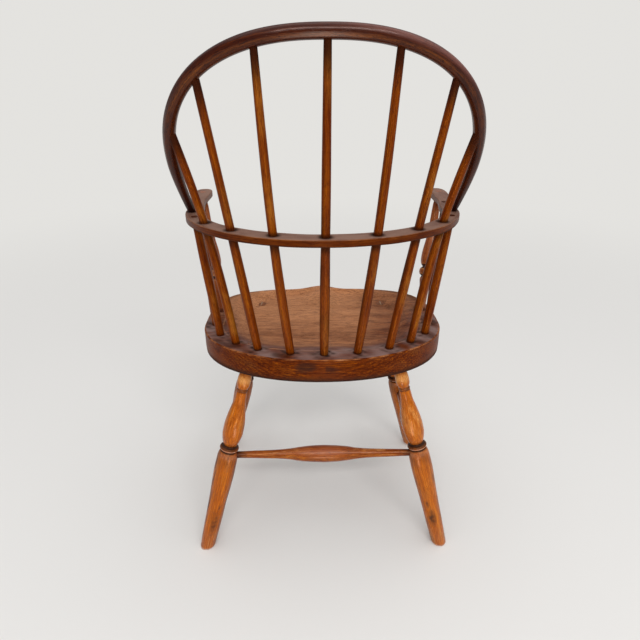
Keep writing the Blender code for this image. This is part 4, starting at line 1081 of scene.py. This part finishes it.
def leg_finish(rows, drops, radii, off_axis, facing, side, seed):
    """Dirt in grooves, knots and at the foot, painted shade on the flanks and under the ring, rubbed swells,
    a little dust, and painted highlights.
    """
    line, z = drops[:, None], rows[..., 2]
    vase_rub_and_highlight, faint_painted_light, flank_shade, stain, (drop, turn, length, breadth) = LEG_MARKS[side]
    uneven = waver(rows[..., 5] * 30, rows[..., 4] * 300, seed + 61)
    ragged = 0.92 + 0.20 * waver(rows[..., 5] * 90, rows[..., 3] * 700, seed + 60)
    low_down, redder = fade(0.015, 0.075, z), ease(0.184, 0.192, line)
    flank = off_axis / np.maximum(radii[:, None], 0.001)
    dirt_and_shade = most(ease(0.6, 3.2, proud_and_low(drops, radii)[1])[:, None], 0.9 * (line < 0.0035),
                0.85 * ease(0.166, 0.1735, line) * fade(0.1795, 0.1806, line),
                0.95 * bell(line, 0.1853, 0.0026),
                0.9 * bell(np.abs(line - 0.0507), 0.0028, 0.0013), 0.72 * bell(line, 0.0507, 0.0050, 4),
                0.80 * ragged * knot(rows, drops, drop, facing + turn, length, breadth),
                0.80 * ragged * knot(rows, drops, 0.312, facing + side * 0.40, 0.011, 0.0036),
                # Painted shade on the leg's flanks.
                flank_shade * (0.40 + 0.36 * redder) * ease(0.38, 1.0, flank) * (0.8 + 0.3 * uneven),
                stain * redder * (0.7 + 0.4 * uneven),
                0.52 * redder * fade(0.205, 0.250, line) * (0.9 + 0.2 * uneven),
                0.42 * fade(0.02, 0.10, z) * (0.7 + 0.4 * uneven))
    # The dark band just under the ring is painted shade.
    dirt_and_shade = most(dirt_and_shade * ease(0.002, 0.007, z), 0.55 * ease(0.184, 0.1865, line) * fade(0.188, 0.194, line))
    # The vase's rubbing also carries a painted highlight, and a faint painted light lifts the whole right
    # leg.
    rub = most(0.78 * bell(line, 0.026, 0.011), vase_rub_and_highlight * bell(line, 0.110, 0.042) * (0.6 + 0.4 * uneven),
               0.75 * low_down * ease(0.3, 1.2, uneven), faint_painted_light)
    # A painted sheen on the shoulder, a little dust low down, a painted highlight line on the ring, and a
    # pale sole edge that is wear and painted highlight.
    dust_and_sheen = (0.30 * bell(line, 0.193, 0.005) + 0.10 * low_down
            + 1.3 * bell(line, 0.1812, 0.0011) * (0.75 + 0.35 * uneven)
            + 1.6 * fade(0.0025, 0.0062, z) * (0.8 + 0.4 * uneven))
    return over_caps(tones(dirt_and_shade, rub, dust_and_sheen))


print("knots, mm down the legs:", [round(marks[-1][0] * 1000) for marks in LEG_MARKS.values()])

# %% Turn the legs
TENON_END = (0.75, 0.10, 0.30)


def turn_leg(row, side, word, seed):
    """A leg from its tenon's end in the seat down to a sole cut level with the floor."""
    seat_y, (foot_x, foot_y) = LEGS[row]
    top = np.array([side * LEG_X, seat_y, float(seat_top(LEG_X, seat_y))])
    foot = np.array([side * foot_x, foot_y, 0.0])
    length = np.linalg.norm(top - foot)
    under = SEAT_UNDER * length / top[2]
    drops, radii = leg_line(length, under)
    rows, along = lathe(foot, top, under - drops, radii, Y_AXIS, around=48, seed=seed)
    off_axis = fit_leg(rows, foot, along, seed)
    facing = 0.0 if row == "rear" else math.pi
    finish = leg_finish(rows, drops, radii, off_axis, facing, side, seed)
    finish[:len(CAP_SHARES) + 1] = TENON_END
    name = f"leg_{row}_{word}"
    skin(name + "_turned", close_ends(rows), finish, name, turned_wood)
    return foot, top


axes = {}
for side, word in SIDES:
    for row in LEGS:
        axes[row, word] = turn_leg(row, side, word, len(axes) + 1)

# %% [markdown]
# A post is a short turning between the seat and the arm's paddle. Its stations are shares of the free
# length, since that length depends on the dish below and the rail above.

# %% Turn the arm posts
POST_SHAPE = np.array([
    (0.0, 0.0078), (0.10, 0.0084), (0.22, 0.0106), (0.275, 0.0122), (0.298, 0.0100), (0.318, 0.0146),
    (0.340, 0.0157), (0.362, 0.0146), (0.382, 0.0104), (0.410, 0.0143), (0.455, 0.0156), (0.53, 0.0144),
    (0.63, 0.0110), (0.74, 0.0087), (0.86, 0.0080), (0.93, 0.0073), (0.975, 0.0062), (1.0, 0.0060)])
POST_GROOVES = (0.298, 0.382)
for side, word in SIDES:
    foot, hole = post_socket(side), rail_arm(POST_RAIL)
    hole = np.array([side * hole[0], hole[1], RAIL_MIDDLE])
    length = np.linalg.norm(hole - foot)
    free = length * (RAIL_UNDER - foot[2]) / (hole[2] - foot[2])
    heights = np.concatenate([np.linspace(-IN_SOCKET, -0.001, 6), np.arange(0.0, free, 0.0009),
                              np.linspace(free, length + 0.010, 10)])
    radii = through(POST_SHAPE[:, 0] * free, POST_SHAPE[:, 1], heights)
    radii = radii - grooves(heights, [share * free for share in POST_GROOVES], 0.0006, 0.0008)
    proud, low = proud_and_low(heights, radii)
    rows, _ = lathe(foot, hole, heights, radii, X_AXIS, around=40, seed=7 + side)
    rows = close_ends(cut_level(rows, RAIL_TOP + INSET))
    line = over_caps(heights)[:, None] * np.ones(rows.shape[:2])
    dirt_and_shade = np.interp(line, heights, ease(0.3, 2.4, low)) + 0.8 * fade(0.0, 0.012, line)
    rub = np.interp(line, heights, ease(0.05, 0.8, proud))
    # The even pale dust on the posts is a painted sheen.
    skin(f"arm_post_{word}_turned", rows, tones(dirt_and_shade, rub, 0.15), f"arm_post_{word}", stretcher_wood)

# %% [markdown]
# The stretchers run from leg to leg, each fattest in its middle. The line of radii is the same on both
# sides of the middle. They darken towards the legs, with dirt at the joints and a painted shadow of the
# legs, and underneath as painted shade. On top lies dust that also stands for a painted highlight.

# %% Turn the stretchers
STRETCHER_SHAPE = np.array([(0.0, 0.0172), (0.12, 0.0163), (0.24, 0.0142), (0.35, 0.0110), (0.50, 0.0088),
                            (0.72, 0.0075), (0.86, 0.0068), (1.0, 0.0066), (1.05, 0.0066)])
RUNS = (("rear", 0.2135, ("rear", "left"), ("rear", "right")),
        ("front", 0.240, ("front", "left"), ("front", "right")),
        ("left", 0.188, ("rear", "left"), ("front", "left")),
        ("right", 0.188, ("rear", "right"), ("front", "right")))
END_GAP = 0.002


def axis_at(axis, height):
    """The point of a leg's axis at a height."""
    foot, top = axis
    return foot + (top - foot) * height / top[2]


for seed, (word, height, first, second) in enumerate(RUNS):
    start, end = axis_at(axes[first], height), axis_at(axes[second], height)
    span = np.linalg.norm(end - start)
    heights = np.linspace(-END_GAP, span + END_GAP, 150)
    radii = through(STRETCHER_SHAPE[:, 0], STRETCHER_SHAPE[:, 1], np.abs(heights / span * 2 - 1))
    rows, _ = lathe(start, end, heights, radii, Z_AXIS, around=36, seed=seed + 12)
    rows = close_ends(rows)
    line = over_caps(heights)[:, None]
    sagging = (rows[..., 2:3].mean(1) - rows[..., 2]) / 0.012
    # Darker towards the legs, dirt and painted shadow, and underneath, painted shade.
    dirt_and_shade = most(0.95 * fade(0.016, 0.060, np.minimum(line, span - line)), 0.45 * ease(0.2, 0.95, sagging))
    middle = bell(line, span / 2, 0.055)
    rub = 0.72 * ease(0.0, 1.0, waver(rows[..., 5] * 22, rows[..., 3] * 300, seed + 70)) * (1 - middle)
    # Dust on top, and a painted highlight.
    dust_and_sheen = 0.30 * ease(0.1, 0.9, -sagging) * (0.4 + 0.6 * middle)
    skin(f"stretcher_{word}_turned", rows, tones(dirt_and_shade, rub, dust_and_sheen), f"stretcher_{word}", stretcher_wood)

# %% [markdown]
# ## The wedges
#
# A wedge is driven into the end of each through tenon and pared flush, so only its pale end grain
# shows. The solids have the right shape already. They keep their meshes and only get an end-grain
# finish, which reads object coordinates because these nodes carry no stock coordinates.

# %% End grain for the wedges
end_bench = Bench(bpy.data.materials.new("wedge_end_grain"))
object_place = end_bench.add("ShaderNodeTexCoord").outputs["Object"]
pore = end_bench.noise(object_place, 900.0, 4.0, 0.6)
cloud = end_bench.noise(object_place, 120.0, 2.0, 0.55)
end_tone = end_bench.mix(end_bench.spread(pore, 0.35, 0.7), (0.20, 0.11, 0.055), (0.50, 0.33, 0.18))
end_tone = end_bench.mix(end_bench.spread(cloud, 0.45, 0.75), end_tone, (0.12, 0.06, 0.03))
end_bump = end_bench.add("ShaderNodeBump", {"Height": pore, "Strength": 0.4, "Distance": 0.0002})
end_bench.put(end_bench.shader, {
    "Base Color": end_tone, "Roughness": 0.55, "Normal": end_bump.outputs["Normal"]})
wedges = [node for name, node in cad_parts.items() if "wedge" in name]
for node in wedges:
    node.data.materials.clear()
    node.data.materials.append(end_bench.made)
print("wedges:", len(wedges))

# %% [markdown]
# ## Floor
#
# The floor is one large plain sheet, pale and dull. Far from the chair it fades into the backdrop's
# colour, but only where the camera looks at it, so no horizon shows and the light stays as it is.
# Glossy wood shows what lies round it. So a bright strip behind the chair glows for gloss alone, and
# the turned legs pick it up as their highlights.

# %% Lay the floor
BACKDROP = (0.775, 0.765, 0.740)
FLOOR_REACH = 30.0
floor_mesh = bpy.data.meshes.new("floor")
corners = [(x * FLOOR_REACH, y * FLOOR_REACH, 0) for x, y in ((-1, -1), (1, -1), (1, 1), (-1, 1))]
floor_mesh.from_pydata(corners, [], [(0, 1, 2, 3)])
floor = bpy.data.objects.new("floor", floor_mesh)
bpy.context.scene.collection.objects.link(floor)
paint = Bench(bpy.data.materials.new("floor_paint"))
paint.put(paint.shader, {"Base Color": (0.80, 0.785, 0.76), "Roughness": 0.9, "Specular IOR Level": 0.05})
ground = paint.add("ShaderNodeTexCoord").outputs["Object"]
rays = paint.add("ShaderNodeLightPath").outputs
away = paint.add("ShaderNodeVectorMath", {0: ground}, operation="LENGTH").outputs["Value"]
fading = paint.times(paint.spread(away, 0.7, 3.5), rays["Is Camera Ray"])
ground_x, ground_y, _ = paint.add("ShaderNodeSeparateXYZ", {0: ground}).outputs
beside = paint.maths("ABSOLUTE", paint.maths("ADD", ground_x, 0.02))
strip = paint.maths("SUBTRACT", 1.0, paint.spread(beside, 0.05, 0.13))
strip = paint.times(paint.times(strip, paint.spread(ground_y, 0.40, 0.60)), rays["Is Glossy Ray"])
surface = paint.shader.outputs[0]
for share, colour, strength in ((fading, BACKDROP, 1.0), (strip, (1.0, 0.92, 0.80), 11.0)):
    glow = paint.add("ShaderNodeEmission", {"Color": colour, "Strength": strength}).outputs[0]
    surface = paint.add("ShaderNodeMixShader", {0: share, 1: surface, 2: glow}).outputs[0]
paint.put(paint.tree.nodes["Material Output"], {"Surface": surface})
floor_mesh.materials.append(paint.made)
print("floor:", 2 * FLOOR_REACH, "m wide,", len(paint.tree.nodes), "nodes")

# %% [markdown]
# ## Light
#
# The light is soft and plain: a weak pale sky all round, one broad light from the ceiling, which is a
# sun with a very wide angle, and a wide high window behind the camera. The camera itself sees the
# backdrop's colour instead of the sky.

# %% Sky and lamps
sky_bench = Bench(bpy.data.worlds.new("studio"))
nodes = sky_bench.tree.nodes
sky = sky_bench.put(nodes["Background"], {"Color": (0.97, 0.98, 1.0), "Strength": 0.34}).outputs[0]
seen = sky_bench.add("ShaderNodeBackground", {"Color": BACKDROP}).outputs[0]
to_camera = sky_bench.add("ShaderNodeLightPath").outputs["Is Camera Ray"]
chosen = sky_bench.add("ShaderNodeMixShader", {0: to_camera, 1: sky, 2: seen}).outputs[0]
sky_bench.put(nodes["World Output"], {"Surface": chosen})
bpy.context.scene.world = sky_bench.made
LIT_POINT = Vector((0.0, 0.0, 0.35))


def hang(name, kind, place, **settings):
    """A lamp at a place, turned towards the chair's middle."""
    light = bpy.data.lights.new(name, kind)
    for key, value in settings.items():
        setattr(light, key, value)
    lamp = bpy.data.objects.new(name, light)
    bpy.context.scene.collection.objects.link(lamp)
    lamp.location = place
    lamp.rotation_euler = (LIT_POINT - Vector(place)).to_track_quat("-Z", "Y").to_euler()


hang("ceiling", "SUN", (-0.3, 0.5, 3.0), energy=1.45, angle=math.radians(100.0))
hang("high_window", "AREA", (-0.30, 2.60, 2.70), shape="RECTANGLE", size=2.80, size_y=0.36, energy=50.0)

# %% [markdown]
# ## Camera
#
# The camera stands where the photograph was taken: straight behind the chair, 0.9 m up and looking
# down. Its place, slant and lens were solved from the chair's own parallel and symmetric points.

# %% Camera
camera_data = bpy.data.cameras.new("camera")
camera_data.lens, camera_data.sensor_width = 28.21, 36.0
camera = bpy.data.objects.new("camera", camera_data)
bpy.context.scene.collection.objects.link(camera)
camera.location = (0.0222, 0.8984, 0.900)
camera.rotation_euler = (math.radians(64.23), 0.0, math.radians(178.92))
bpy.context.scene.camera = camera
bpy.context.scene.view_settings.view_transform = "Standard"
print("camera:", tuple(round(value, 3) for value in camera.location), "lens mm:", round(camera_data.lens, 2))
